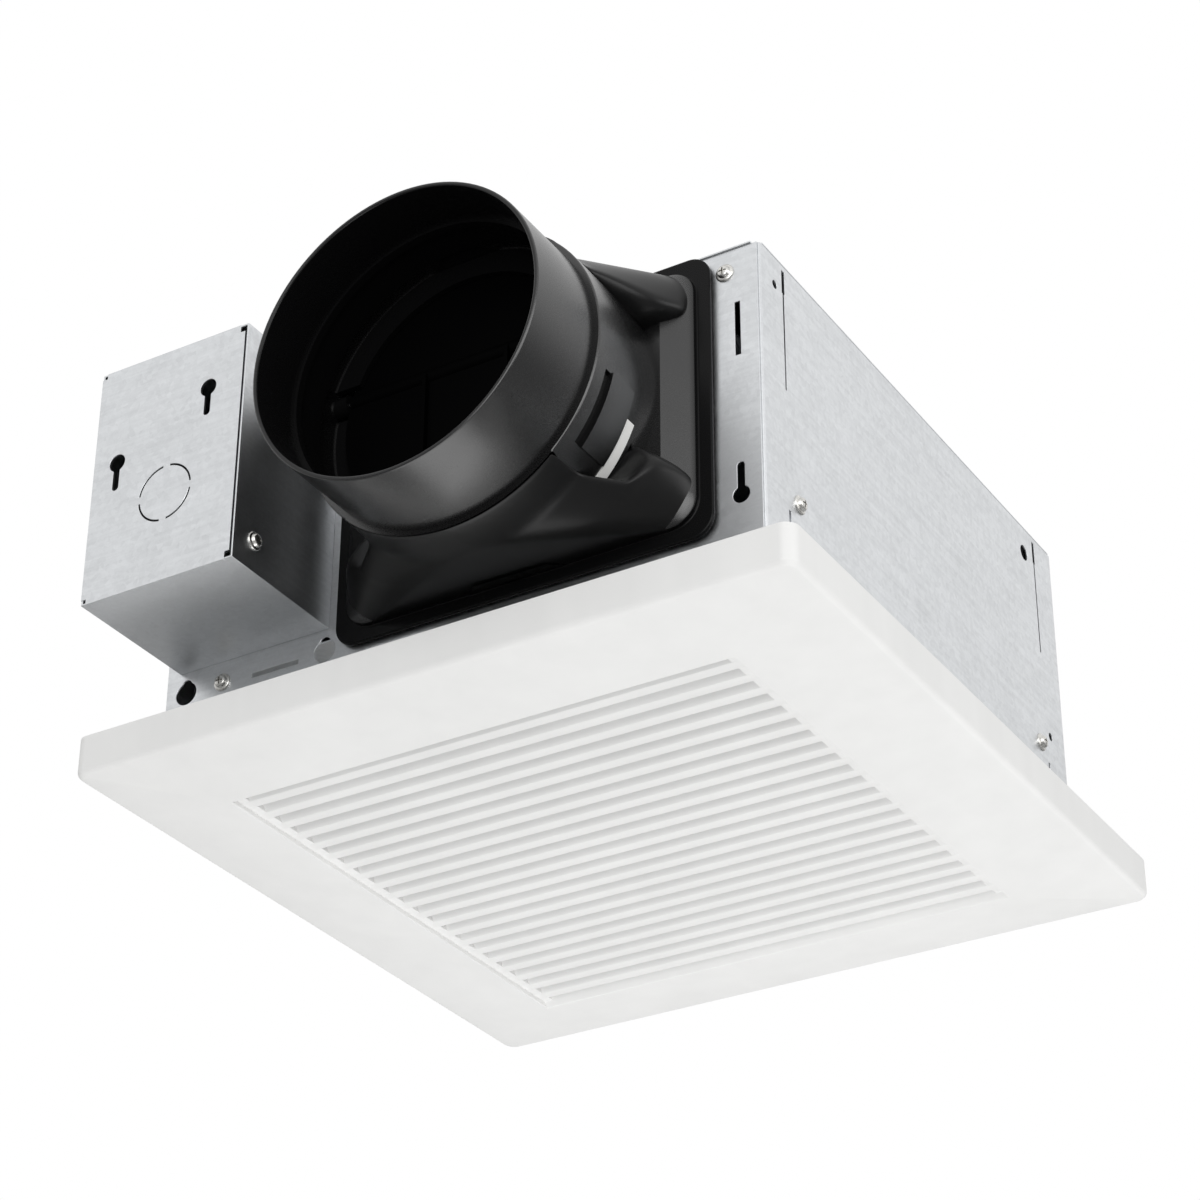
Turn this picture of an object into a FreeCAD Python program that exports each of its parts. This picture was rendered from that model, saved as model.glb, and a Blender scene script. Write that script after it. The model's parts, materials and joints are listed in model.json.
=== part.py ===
import FreeCAD, Part
import math
import os

import Sketcher

# A ceiling exhaust fan: a sheet-steel housing with a wiring box and a duct adapter on its front,
# a blower inside it, and a louvred grille below that hangs on two V-shaped springs.
# Frame: the origin is the centre of the ceiling flange's screw holes, at the ceiling.
# +Z is up into the ceiling, the duct leaves towards -Y, and +X is to the right of the duct.

Vector = FreeCAD.Vector
Rotation = FreeCAD.Rotation

# Driving dimensions: millimetres, degrees and counts
SIZES = {
    # Housing
    "housing_width": 326.0,
    "housing_depth": 322.0,
    "housing_height": 175.0,
    "sheet_steel": 1.0,
    "corner_bend": 1.2,
    "wall_return": 21.0,
    "bottom_hem": 9.0,
    "top_overhang": 0.8,
    "corner_notch": 4.0,
    "ceiling_flange": 15.0,
    "flange_setback": 12.0,
    "mount_hole_radius": 2.5,
    "mount_spacing": 240.0,
    "slit_width": 1.4,
    "slit_length": 66.0,
    "slit_setback": 23.0,
    "slit_top": 3.0,
    "slit_head_width": 2.8,
    "slit_head_length": 12.6,
    "foot_slit_width": 2.1,
    "foot_slit_length": 16.8,
    "side_hole_radius": 4.2,
    "side_hole_offset": 12.6,
    "pilot_radius": 2.1,
    "pilot_rise": 16.8,
    "rear_pilot_offset": 4.2,
    "front_pilot_offset": 8.4,
    # Keyholes and slots of the front panel's right strip
    "strip_keyhole_radius": 4.2,
    "strip_keyhole_slot": 3.6,
    "strip_keyhole_length": 15.0,
    "strip_keyhole_height": 41.0,
    "strip_slot_width": 2.7,
    "strip_slot_length": 29.0,
    "strip_slot_height": 115.0,
    "keyhole_backing_gap": 2.1,
    # Keyholes and slot below the wiring box
    "low_keyhole_radius": 5.9,
    "low_keyhole_slot": 6.0,
    "low_keyhole_length": 4.3,
    "low_keyhole_height": 27.0,
    "low_keyhole_left_inset": 4.0,
    "low_keyhole_right_inset": 2.0,
    "lance_width": 27.0,
    "lance_height": 2.4,
    # Screws
    "screw_shank_radius": 1.9,
    "screw_clearance": 0.1,
    "screw_length": 8.0,
    "screw_washer_radius": 4.6,
    "screw_washer": 0.9,
    "screw_head_radius": 3.1,
    "screw_head": 2.2,
    "screw_crown_share": 0.8,
    "screw_recess_share": 0.75,
    "screw_recess_width": 0.9,
    "screw_recess_depth": 1.3,
    "screw_edge_gap": 1.4,
    "strip_screw_drop": 13.0,
    # Duct adapter
    "adapter_x": 39.0,
    "adapter_flange_width": 200.5,
    "adapter_flange_height": 150.3,
    "adapter_flange_thickness": 2.5,
    "adapter_corner_radius": 11.0,
    "adapter_top_gap": 0.4,
    "adapter_wall": 2.5,
    "shoulder_border": 7.0,
    "shoulder_corner_radius": 13.6,
    "plateau_corner_radius": 9.7,
    "roof_sink": 0.4,
    "roof_foot": 57.0,
    "web_foot": 34.0,
    "web_setback": 10.0,
    "roof_side_share": 0.2,
    "roof_corner_share": 0.45,
    "roof_flange_foot": 53.0,
    "roof_inset": 5.0,
    "shoulder_step": 2.5,
    "shoulder_depth": 6.5,
    "shoulder_run": 14.0,
    "neck_length": 50.0,
    "neck_step": 3.0,
    "neck_wall": 3.0,
    "collar_radius": 75.0,
    "collar_rise": 5.0,
    "collar_length": 46.0,
    "collar_wall": 2.2,
    "inner_lip_depth": 28.0,
    "inner_lip_width": 4.0,
    "inner_lip_step": 1.6,
    "gasket_thickness": 1.5,
    "gasket_inset": 3.0,
    "hook_width": 14.0,
    "hook_inset": 2.9,
    "hook_wall": 1.8,
    "hook_catch": 1.2,
    # White catch and latch tab on the neck
    "catch_start": 21.0,
    "catch_sweep": 24.0,
    "catch_width": 6.0,
    "catch_setback": 13.0,
    "catch_depth": 1.8,
    "catch_rise": 0.7,
    "catch_gap": 0.06,
    "latch_start": 12.0,
    "latch_sweep": 27.0,
    "latch_width": 18.0,
    "latch_rise": 1.6,
    "latch_slot": 4.0,
    "latch_gap": 1.0,
    # Damper
    "flap_radius": 66.5,
    "flap_thickness": 2.0,
    "flap_pivot_rise": 18.0,
    "flap_pivot_setback": 16.0,
    "flap_barrel_radius": 4.0,
    "flap_rib": 3.0,
    "flap_rib_share": 0.7,
    "flap_rib_spread": 22.0,
    "pin_radius": 2.0,
    "pin_clearance": 0.06,
    "pin_boss_radius": 5.0,
    "pin_boss_gap": 1.2,
    "seal_thickness": 1.0,
    "seal_width": 6.0,
    "seat_gap": 0.3,
    "seat_thickness": 3.0,
    "seat_overlap": 4.0,
    "seat_break": 6.0,
    # Wiring box
    "box_width": 86.4,
    "box_height": 128.3,
    "box_depth": 75.2,
    "box_top_drop": 8.5,
    "box_side_gap": 6.4,
    "box_back_lip": 11.0,
    "ground_inset": 20.0,
    "cover_gap": 0.3,
    "cover_side_gap": 0.9,
    "cover_setback": 0.4,
    "cover_flange": 20.0,
    "cover_notch": 2.6,
    "cover_heel_notch": 1.3,
    "cover_screw_setback": 15.0,
    "cover_screw_height": 15.8,
    "cover_keyhole_radius": 4.5,
    "cover_keyhole_slot": 3.6,
    "cover_keyhole_length": 13.5,
    "first_keyhole_inset": 21.3,
    "first_keyhole_height": 99.0,
    "second_keyhole_inset": 72.6,
    "second_keyhole_height": 74.0,
    "knockout_radius": 14.3,
    "knockout_cut": 0.8,
    "knockout_bridge": 4.0,
    "knockout_inset": 42.4,
    "knockout_height": 47.8,
    "rivet_radius": 1.6,
    "rivet_head_radius": 3.2,
    "rivet_head": 1.1,
    "rivet_clearance": 0.08,
    # Wiring
    "terminal_width": 26.0,
    "terminal_height": 20.0,
    "terminal_front": 15.0,
    "terminal_back": 9.0,
    "terminal_lip": 2.0,
    "terminal_gap": 0.15,
    "terminal_inset": 28.0,
    "wire_port_radius": 2.2,
    "wire_port_depth": 8.0,
    "plug_depth": 12.0,
    "plug_height": 24.0,
    "plug_width": 20.0,
    "lead_radius": 2.4,
    "lead_bend": 10.0,
    "lead_height": 12.6,
    "lead_entry": 2.0,
    "lead_offset": 24.0,
    "bushing_wall": 2.0,
    "bushing_lip": 2.0,
    "bushing_clearance": 0.1,
    # Run capacitor
    "capacitor_width": 46.0,
    "capacitor_depth": 24.0,
    "capacitor_height": 32.0,
    "capacitor_corner": 2.0,
    "clip_strap": 14.0,
    "clip_ear": 8.0,
    "clip_gap": 0.2,
    "capacitor_lead_radius": 1.6,
    "capacitor_lead_inset": 5.0,
    "capacitor_lead_length": 14.2,
    # Scroll
    "wheel_x": -15.0,
    "wheel_y": 18.0,
    "scroll_step": 11.0,
    "tongue_radius": 5.0,
    "lead_space": 22.0,
    "plate_margin": 3.0,
    "inlet_clearance": 5.0,
    "bell_radius": 12.0,
    "inlet_arm_width": 24.0,
    "inlet_arm_setback": 20.0,
    "inlet_tab_height": 26.0,
    "inlet_screw_height": 16.0,
    "floor_screw_inset": 25.5,
    "floor_screw_drop": 5.8,
    "floor_tab_width": 15.0,
    "floor_tab_height": 14.0,
    "post_radius": 5.0,
    "post_inset": 16.0,
    # Blower wheel
    "wheel_radius": 100.0,
    "blade_depth": 16.0,
    "wheel_top_gap": 10.8,
    "wheel_bottom_gap": 10.0,
    "wheel_plate": 2.0,
    "wheel_ring": 2.0,
    "wheel_ring_wall": 14.0,
    "blade_count": 40.0,
    "blade_thickness": 1.2,
    "blade_lean": 6.0,
    "blade_bulge": 3.0,
    "hub_disc_radius": 56.0,
    "hub_gap": 6.0,
    "hub_radius": 9.0,
    "hub_length": 16.0,
    "washer_thickness": 1.5,
    "nut_width": 13.0,
    "nut_height": 6.5,
    "shaft_tail": 2.0,
    # Motor
    "motor_radius": 42.0,
    "motor_height": 54.0,
    "shell_wall": 1.5,
    "shaft_radius": 4.0,
    "shaft_clearance": 0.05,
    "shaft_hole_gap": 1.0,
    "bearing_radius": 11.0,
    "bearing_height": 7.0,
    "bearing_clearance": 0.03,
    "bearing_cup": 1.5,
    "stack_height": 28.0,
    "stator_bore": 22.6,
    "rotor_gap": 0.5,
    "stator_clearance": 0.1,
    "winding_inner": 26.0,
    "winding_outer": 36.0,
    "winding_height": 8.0,
    "grommet_height": 3.0,
    "grommet_radius": 5.5,
    "ear_circle": 48.0,
    "ear_radius": 6.5,
    # Grille springs and their brackets
    "spring_wire": 1.0,
    "spring_coil": 5.5,
    "spring_pitch": 2.6,
    "spring_turns": 2.0,
    "spring_arm": 116.0,
    "spring_splay": 40.0,
    "spring_wall_gap": 12.0,
    "spring_drop": 4.0,
    "spring_slot_gap": 0.4,
    "bracket_height": 10.0,
    "bracket_leg": 14.0,
    "bracket_reach": 23.0,
    "bracket_margin": 8.0,
    "bracket_slot": 11.0,
    # Grille
    "grille_overhang": 27.5,
    "rim_height": 20.0,
    "grille_wall": 2.5,
    "grille_corner": 10.0,
    "rim_edge": 4.0,
    "face_drop": 6.0,
    "louver_width": 269.0,
    "louver_count": 22.0,
    "louver_pitch": 13.0,
    "louver_bar": 6.0,
    "louver_recess": 2.5,
    "louver_thickness": 2.0,
    "louver_margin": 5.0,
    "louver_lap": 3.0,
    "louver_rise": 8.0,
    "louver_slab": 1.8,
    "peg_clearance": 0.5,
    "peg_ear": 2.0,
    "peg_ear_gap": 0.6,
    "peg_ear_reach": 4.0,
    "peg_ear_width": 9.0,
}


class Size:
    """A size and the formula that it comes from, so that sums of sizes stay bound to the sheet."""

    def __init__(self, value, formula):
        self.value = value
        self.formula = formula

    def __float__(self):
        return self.value

    def __add__(self, other):
        return combine(self, "+", other)

    def __radd__(self, other):
        return combine(other, "+", self)

    def __sub__(self, other):
        return combine(self, "-", other)

    def __rsub__(self, other):
        return combine(other, "-", self)

    def __mul__(self, other):
        return combine(self, "*", other)

    def __rmul__(self, other):
        return combine(other, "*", self)

    def __truediv__(self, other):
        return combine(self, "/", other)

    def __neg__(self):
        return combine(0.0, "-", self)


def combine(left, sign, right):
    """The sum, difference, product or quotient of two sizes or numbers, as a size."""
    first = float(left)
    second = float(right)
    results = {
        "+": first + second,
        "-": first - second,
        "*": first * second,
        "/": first / second if second else 0.0,
    }
    return Size(results[sign], f"({formula_of(left)} {sign} {formula_of(right)})")


def formula_of(value):
    """The text of a size or a number inside a formula."""
    if isinstance(value, Size):
        return value.formula
    return f"({float(value)!r})"


doc = FreeCAD.newDocument("exhaust_fan")
sheet = doc.addObject("Spreadsheet::Sheet", "sizes")
for row, (alias, number) in enumerate(SIZES.items(), start=1):
    sheet.set(f"A{row}", alias)
    sheet.set(f"B{row}", str(number))
    sheet.setAlias(f"B{row}", alias)
doc.recompute()

parts = []


def size(alias):
    """A driving dimension, read from the sheet."""
    return Size(float(sheet.get(alias)), f"sizes.{alias}")


def bind(item, name, value):
    """Set a property, and bind it to the sheet if its value is a size."""
    setattr(item, name, float(value))
    if isinstance(value, Size):
        item.setExpression(name, value.formula)


def place(item, x, y, z, rotation=Rotation()):
    """Place an object, with its position bound to the sheet."""
    item.Placement = FreeCAD.Placement(Vector(float(x), float(y), float(z)), rotation)
    for axis, value in zip("xyz", (x, y, z)):
        if isinstance(value, Size):
            item.setExpression(f"Placement.Base.{axis}", value.formula)
    return item


def part(item, label):
    """Name a finished sub-part."""
    item.Label = label
    parts.append(item)
    return item


def box(x, y, z):
    """A block between two values on each axis."""
    item = doc.addObject("Part::Box", "Block")
    for name, (low, high) in zip(("Length", "Width", "Height"), (x, y, z)):
        bind(item, name, high - low)
    return place(item, x[0], y[0], z[0])


TURN_TO = {
    "x": Rotation(Vector(0, 1, 0), 90),
    "y": Rotation(Vector(1, 0, 0), -90),
    "z": Rotation(),
}


def rod(axis, across, along, radius):
    """A round bar along an axis: its two other coordinates, and where it starts and ends."""
    item = doc.addObject("Part::Cylinder", "Rod")
    bind(item, "Radius", radius)
    bind(item, "Height", along[1] - along[0])
    start = list(across)
    start.insert("xyz".index(axis), along[0])
    return place(item, *start, TURN_TO[axis])


def sector(across, along, radius, first, sweep):
    """A slice of a round bar along Y, from an angle below +X and over a sweep further down."""
    item = rod("y", across, along, radius)
    bind(item, "Angle", sweep)
    item.Placement.Rotation = TURN_TO["y"] * Rotation(Vector(0, 0, 1), float(first))
    return item


def wedge(x, y, z, far_x, far_z, rotation=Rotation()):
    """A block that tapers along its own Y from one rectangle to another."""
    item = doc.addObject("Part::Wedge", "Taper")
    ranges = {"X": x, "Y": y, "Z": z, "X2": far_x, "Z2": far_z}
    for name, (low, high) in ranges.items():
        bind(item, f"{name}min", low)
        bind(item, f"{name}max", high)
    item.Placement.Rotation = rotation
    return item


def join(pieces):
    """Pieces of one solid, fused."""
    item = doc.addObject("Part::MultiFuse", "Joined")
    item.Shapes = pieces
    item.Refine = True
    return item


def join_in_turn(pieces):
    """Pieces fused one after another, with the seams between their faces kept."""
    whole = pieces[0]
    for piece in pieces[1:]:
        whole = join([whole, piece])
        whole.Refine = False
    return whole


def cut(base, tools):
    """A piece with other shapes taken out of it."""
    item = doc.addObject("Part::Cut", "Trimmed")
    item.Base = base
    item.Tool = tools[0] if len(tools) == 1 else join(tools)
    return item


def common(first, second):
    """What two shapes share."""
    item = doc.addObject("Part::Common", "Shared")
    item.Base = first
    item.Tool = second
    return item


def group(pieces):
    """Separate solids kept together in one node."""
    item = doc.addObject("Part::Compound", "Group")
    item.Links = pieces
    return item


def rounded(base, radius, chosen):
    """Fillet the edges that a test chooses."""
    doc.recompute()
    item = doc.addObject("Part::Fillet", "Rounded")
    item.Base = base
    amount = float(radius)
    edges = enumerate(base.Shape.Edges, start=1)
    item.Edges = [(number, amount, amount) for number, edge in edges if chosen(edge)]
    return item


def runs_along(axis):
    """A test for straight edges along an axis."""
    direction = {"x": Vector(1, 0, 0), "y": Vector(0, 1, 0), "z": Vector(0, 0, 1)}[axis]

    def test(edge):
        if edge.Curve.TypeId != "Part::GeomLine":
            return False
        return abs(edge.tangentAt(edge.FirstParameter).dot(direction)) > 0.999

    return test


def rounded_block(axis, x, y, z, radius):
    """A block with its four edges along one axis rounded."""
    return rounded(box(x, y, z), radius, runs_along(axis))


def solid(shape):
    """A shape that no ready-made object fits."""
    item = doc.addObject("Part::Feature", "Solid")
    item.Shape = shape
    return item


def turned(x, y, z, profile):
    """A body turned about a vertical line: the profile lists radii and heights above z."""
    body = doc.addObject("PartDesign::Body", "Turned")
    sketch = body.newObject("Sketcher::SketchObject", "Profile")
    plane = next(item for item in body.Origin.OriginFeatures if item.Role == "XZ_Plane")
    sketch.AttachmentSupport = (plane, [""])
    sketch.MapMode = "FlatFace"
    corners = [Vector(float(radius), float(height), 0) for radius, height in profile]
    count = len(corners)
    for index in range(count):
        sketch.addGeometry(Part.LineSegment(corners[index], corners[(index + 1) % count]))
    for index in range(count):
        following = (index + 1) % count
        sketch.addConstraint(Sketcher.Constraint("Coincident", index, 2, following, 1))
    for index, point in enumerate(profile):
        for kind, axis, value in zip(("DistanceX", "DistanceY"), (-2, -1), point):
            fix_point(sketch, index, kind, axis, value)
    revolution = body.newObject("PartDesign::Revolution", "Revolution")
    revolution.Profile = sketch
    revolution.ReferenceAxis = (sketch, ["V_Axis"])
    revolution.Angle = 360
    sketch.Visibility = False
    return place(body, x, y, z)


def fix_point(sketch, index, kind, axis, value):
    """Hold one coordinate of a profile corner: on the axis, or at a size from it."""
    if float(value) == 0.0:
        sketch.addConstraint(Sketcher.Constraint("PointOnObject", index, 1, axis))
        return
    rule = Sketcher.Constraint(kind, -1, 1, index, 1, float(value))
    number = sketch.addConstraint(rule)
    if isinstance(value, Size):
        sketch.setExpression(f"Constraints[{number}]", value.formula)


def ring(x, y, along, inner, outer):
    """A turned ring or tube between two heights."""
    height = along[1] - along[0]
    profile = [(inner, 0), (outer, 0), (outer, height), (inner, height)]
    return turned(x, y, along[0], profile)


def keyhole(across, along, head, slot, length):
    """A tool along Y for a keyhole: a round head with a slot that runs up, or down if negative."""
    x, z = across
    half = slot / 2
    low, high = (z, z + length) if float(length) > 0 else (z + length, z)
    end = z + length
    pieces = [
        rod("y", across, along, head),
        box((x - half, x + half), along, (low, high)),
        rod("y", (x, end), along, half),
    ]
    return join(pieces)


# Planes and places that several pieces share
half_width = size("housing_width") / 2
half_depth = size("housing_depth") / 2
steel = size("sheet_steel")
front = -half_depth
front_inside = front + steel
top_under = size("housing_height") - steel
wall_inside = half_width - steel

adapter_x = size("adapter_x")
adapter_half_width = size("adapter_flange_width") / 2
adapter_half_height = size("adapter_flange_height") / 2
adapter_z = top_under - size("adapter_top_gap") - adapter_half_height
collar_z = adapter_z + size("collar_rise")
collar_centre = (adapter_x, collar_z)
adapter_back = front - size("gasket_thickness")
adapter_face = adapter_back - size("adapter_flange_thickness")
shoulder_half_width = adapter_half_width - size("shoulder_border")
shoulder_half_height = adapter_half_height - size("shoulder_border")
shoulder_face = adapter_face - size("shoulder_step")
plateau = shoulder_face - size("shoulder_depth")
neck_front = plateau - size("neck_length")
collar_rim = neck_front - size("collar_length")
neck_radius = size("collar_radius") + size("neck_step")
neck_bore = neck_radius - size("neck_wall")
collar_bore = size("collar_radius") - size("collar_wall")
throat_half_width = shoulder_half_width - size("adapter_wall")
throat_half_height = shoulder_half_height - size("adapter_wall")
throat_left = adapter_x - throat_half_width
throat_right = adapter_x + throat_half_width

inlet_top = adapter_z - throat_half_height
inlet_under = inlet_top - steel
scroll_top = top_under - size("lead_space") - steel
scroll_lid = scroll_top + steel
axis_x = size("wheel_x")
axis_y = size("wheel_y")
scroll_half_step = size("scroll_step") / 2
first_radius = throat_right - axis_x - scroll_half_step
second_radius = first_radius - size("scroll_step")
third_radius = second_radius - size("scroll_step")
scroll_left = axis_x + scroll_half_step - second_radius
scroll_rear = axis_y - scroll_half_step + first_radius
plate_left = scroll_left - steel - size("plate_margin")
plate_right = throat_right + steel + size("plate_margin")
plate_rear = scroll_rear + steel + size("plate_margin")

motor_top = scroll_top - size("grommet_height")
motor_under = motor_top - size("motor_height")
hub_top = motor_under - size("hub_gap")
hub_under = hub_top - size("wheel_plate") - size("hub_length")
ring_inner = size("wheel_radius") - size("wheel_ring_wall")
inlet_radius = ring_inner - size("inlet_clearance") - steel

box_right = adapter_x - adapter_half_width - size("box_side_gap")
box_left = box_right - size("box_width")
box_top = size("housing_height") - size("box_top_drop")
box_bottom = box_top - size("box_height")
box_front = front - size("box_depth")

screw_hole = size("screw_shank_radius") + size("screw_clearance")
strip_x = (adapter_x + adapter_half_width + half_width) / 2
strip_screw_x = adapter_x + adapter_half_width + size("screw_washer_radius") + size("screw_edge_gap")
strip_screw_z = size("housing_height") - size("strip_screw_drop")
floor_screw_x = box_left + size("floor_screw_inset")
floor_screw_z = inlet_top - size("floor_screw_drop")
arm_front_y = front + size("inlet_arm_setback") + size("inlet_arm_width") / 2
arm_rear_y = half_depth - size("inlet_arm_setback") - size("inlet_arm_width") / 2
inlet_screw_z = inlet_top + size("inlet_screw_height")

terminal_x = box_right - size("terminal_inset")
capacitor_floor = inlet_top + steel + size("clip_gap")
capacitor_top = capacitor_floor + size("capacitor_height")
terminal_z = capacitor_top + size("capacitor_lead_length") + size("plug_height") / 2
ground_x = box_left + size("ground_inset")
ground_z = box_top - size("ground_inset")
lead_down_y = front_inside + size("terminal_back") + size("plug_depth") / 2
spring_x = wall_inside - size("spring_wall_gap")
spring_z = -size("spring_drop")


def screw_pattern():
    """One washer-head screw with a cross recess, its shank along -Z from the origin."""
    washer_top = size("screw_washer")
    head_top = washer_top + size("screw_head")
    recess_floor = head_top - size("screw_recess_depth")
    half = size("screw_recess_width") / 2
    reach = size("screw_head_radius") * size("screw_recess_share")
    profile = [
        (0, -size("screw_length")),
        (size("screw_shank_radius"), -size("screw_length")),
        (size("screw_shank_radius"), 0),
        (size("screw_washer_radius"), 0),
        (size("screw_washer_radius"), washer_top),
        (size("screw_head_radius"), washer_top),
        (size("screw_head_radius") * size("screw_crown_share"), head_top),
        (0, head_top),
    ]
    tall = (recess_floor, head_top + steel)
    bars = [
        box((-reach, reach), (-half, half), tall),
        box((-half, half), (-reach, reach), tall),
    ]
    pattern = cut(turned(0, 0, 0, profile), bars)
    doc.recompute()
    return pattern.Shape


OUTWARD = {
    "-y": Rotation(Vector(1, 0, 0), 90),
    "+y": Rotation(Vector(1, 0, 0), -90),
    "+x": Rotation(Vector(0, 1, 0), 90),
    "-x": Rotation(Vector(0, 1, 0), -90),
    "+z": Rotation(),
    "-z": Rotation(Vector(1, 0, 0), 180),
}


def screws(pattern, places):
    """Copies of the screw, each with its head's seat at a point and its head facing a way."""
    copies = []
    for point, way in places:
        copy = pattern.copy()
        position = Vector(*[float(value) for value in point])
        copy.Placement = FreeCAD.Placement(position, OUTWARD[way])
        copies.append(copy)
    return solid(Part.Compound(copies))


def top_panel():
    """Flat top with notched corners. Its front and rear edges stand slightly proud."""
    over = half_depth + size("top_overhang")
    height = (top_under, size("housing_height"))
    plate = box((-half_width, half_width), (-over, over), height)
    notch = size("corner_notch")
    tools = []
    for x in ((-half_width - notch, -half_width + notch), (half_width - notch, half_width + notch)):
        for y in ((-over - notch, -over + notch), (over - notch, over + notch)):
            tools.append(box(x, y, (top_under - steel, size("housing_height") + steel)))
    for x, y in post_places():
        tools.append(rod("z", (x, y), (top_under - steel, size("housing_height") + steel), screw_hole))
    part(cut(plate, tools), "top_panel")


def post_places():
    """Where the posts stand between the scroll's lid and the top panel."""
    inset = size("post_inset")
    lines_x = (plate_left + inset, plate_right - inset)
    lines_y = (front_inside + inset, plate_rear - inset)
    return [(x, y) for x in lines_x for y in lines_y]


def end_plate(outer, inner, turn_in):
    """A front or rear plate: a flat sheet with a top return and a bottom hem."""
    reach = half_width - size("corner_bend")
    y = (outer, inner) if float(outer) < float(inner) else (inner, outer)
    low, high = (y[0], turn_in) if float(turn_in) > float(y[0]) else (turn_in, y[1])
    inside = wall_inside - size("wall_return") - steel
    return join([
        box((-reach, reach), y, (0, top_under)),
        box((-inside, inside), (low, high), (top_under - steel, top_under)),
        box((-inside, inside), (low, high), (0, steel)),
    ])


def front_panel():
    """Front plate with the outlet, the keyholes and slots, and the screw and rivet holes."""
    through = (front - steel, front_inside + steel)
    hem = front_inside + size("bottom_hem")
    low_z = size("low_keyhole_height")
    lance_x = (floor_screw_x + box_right) / 2
    lance_half = size("lance_width") / 2
    lance_z = low_z - size("lance_height")
    slot_half = size("strip_slot_width") / 2
    slot_top = size("strip_slot_height") + size("strip_slot_length")
    keyhole_slot = size("strip_keyhole_slot")
    low_shape = [size(f"low_keyhole_{part_of}") for part_of in ("radius", "slot", "length")]
    port_half = size("terminal_width") / 2 + size("terminal_gap")
    port_tall = size("terminal_height") / 2 + size("terminal_gap")
    tools = [
        box((throat_left, throat_right), through, (inlet_top, scroll_top)),
        box((strip_x - slot_half, strip_x + slot_half), through, (size("strip_slot_height"), slot_top)),
        keyhole((strip_x, size("strip_keyhole_height")), through, size("strip_keyhole_radius"),
                keyhole_slot, size("strip_keyhole_length")),
        keyhole((box_right - size("low_keyhole_right_inset"), low_z), through, *low_shape),
        keyhole((box_left + size("low_keyhole_left_inset"), low_z), through, *low_shape),
        box((lance_x - lance_half, lance_x + lance_half), through,
            (lance_z, lance_z + size("lance_height"))),
        box((terminal_x - port_half, terminal_x + port_half), through,
            (terminal_z - port_tall, terminal_z + port_tall)),
        rod("y", (strip_screw_x, strip_screw_z), through, screw_hole),
        rod("y", (floor_screw_x, floor_screw_z), through, screw_hole),
        rod("y", (ground_x, ground_z), through, screw_hole),
    ]
    tools += hook_slots(through)
    tools += [rod("y", (x, z), through, size("rivet_radius") + size("rivet_clearance"))
              for x, z in rivet_places()]
    part(cut(end_plate(front, front_inside, hem), tools), "front_panel")


def rear_screw_places():
    """Screws that hold the rear plate to the returns of the side panels."""
    x = half_width - size("wall_return") / 2
    heights = (size("strip_keyhole_height"), strip_screw_z)
    return [(side * x, z) for side in (-1, 1) for z in heights]


def rear_panel():
    """Rear plate, held to the side panels by four screws."""
    through = (half_depth - steel * 2, half_depth + steel)
    plate = end_plate(half_depth, half_depth - steel, half_depth - steel - size("bottom_hem"))
    tools = [rod("y", place_xz, through, screw_hole) for place_xz in rear_screw_places()]
    part(cut(plate, tools), "rear_panel")


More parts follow.
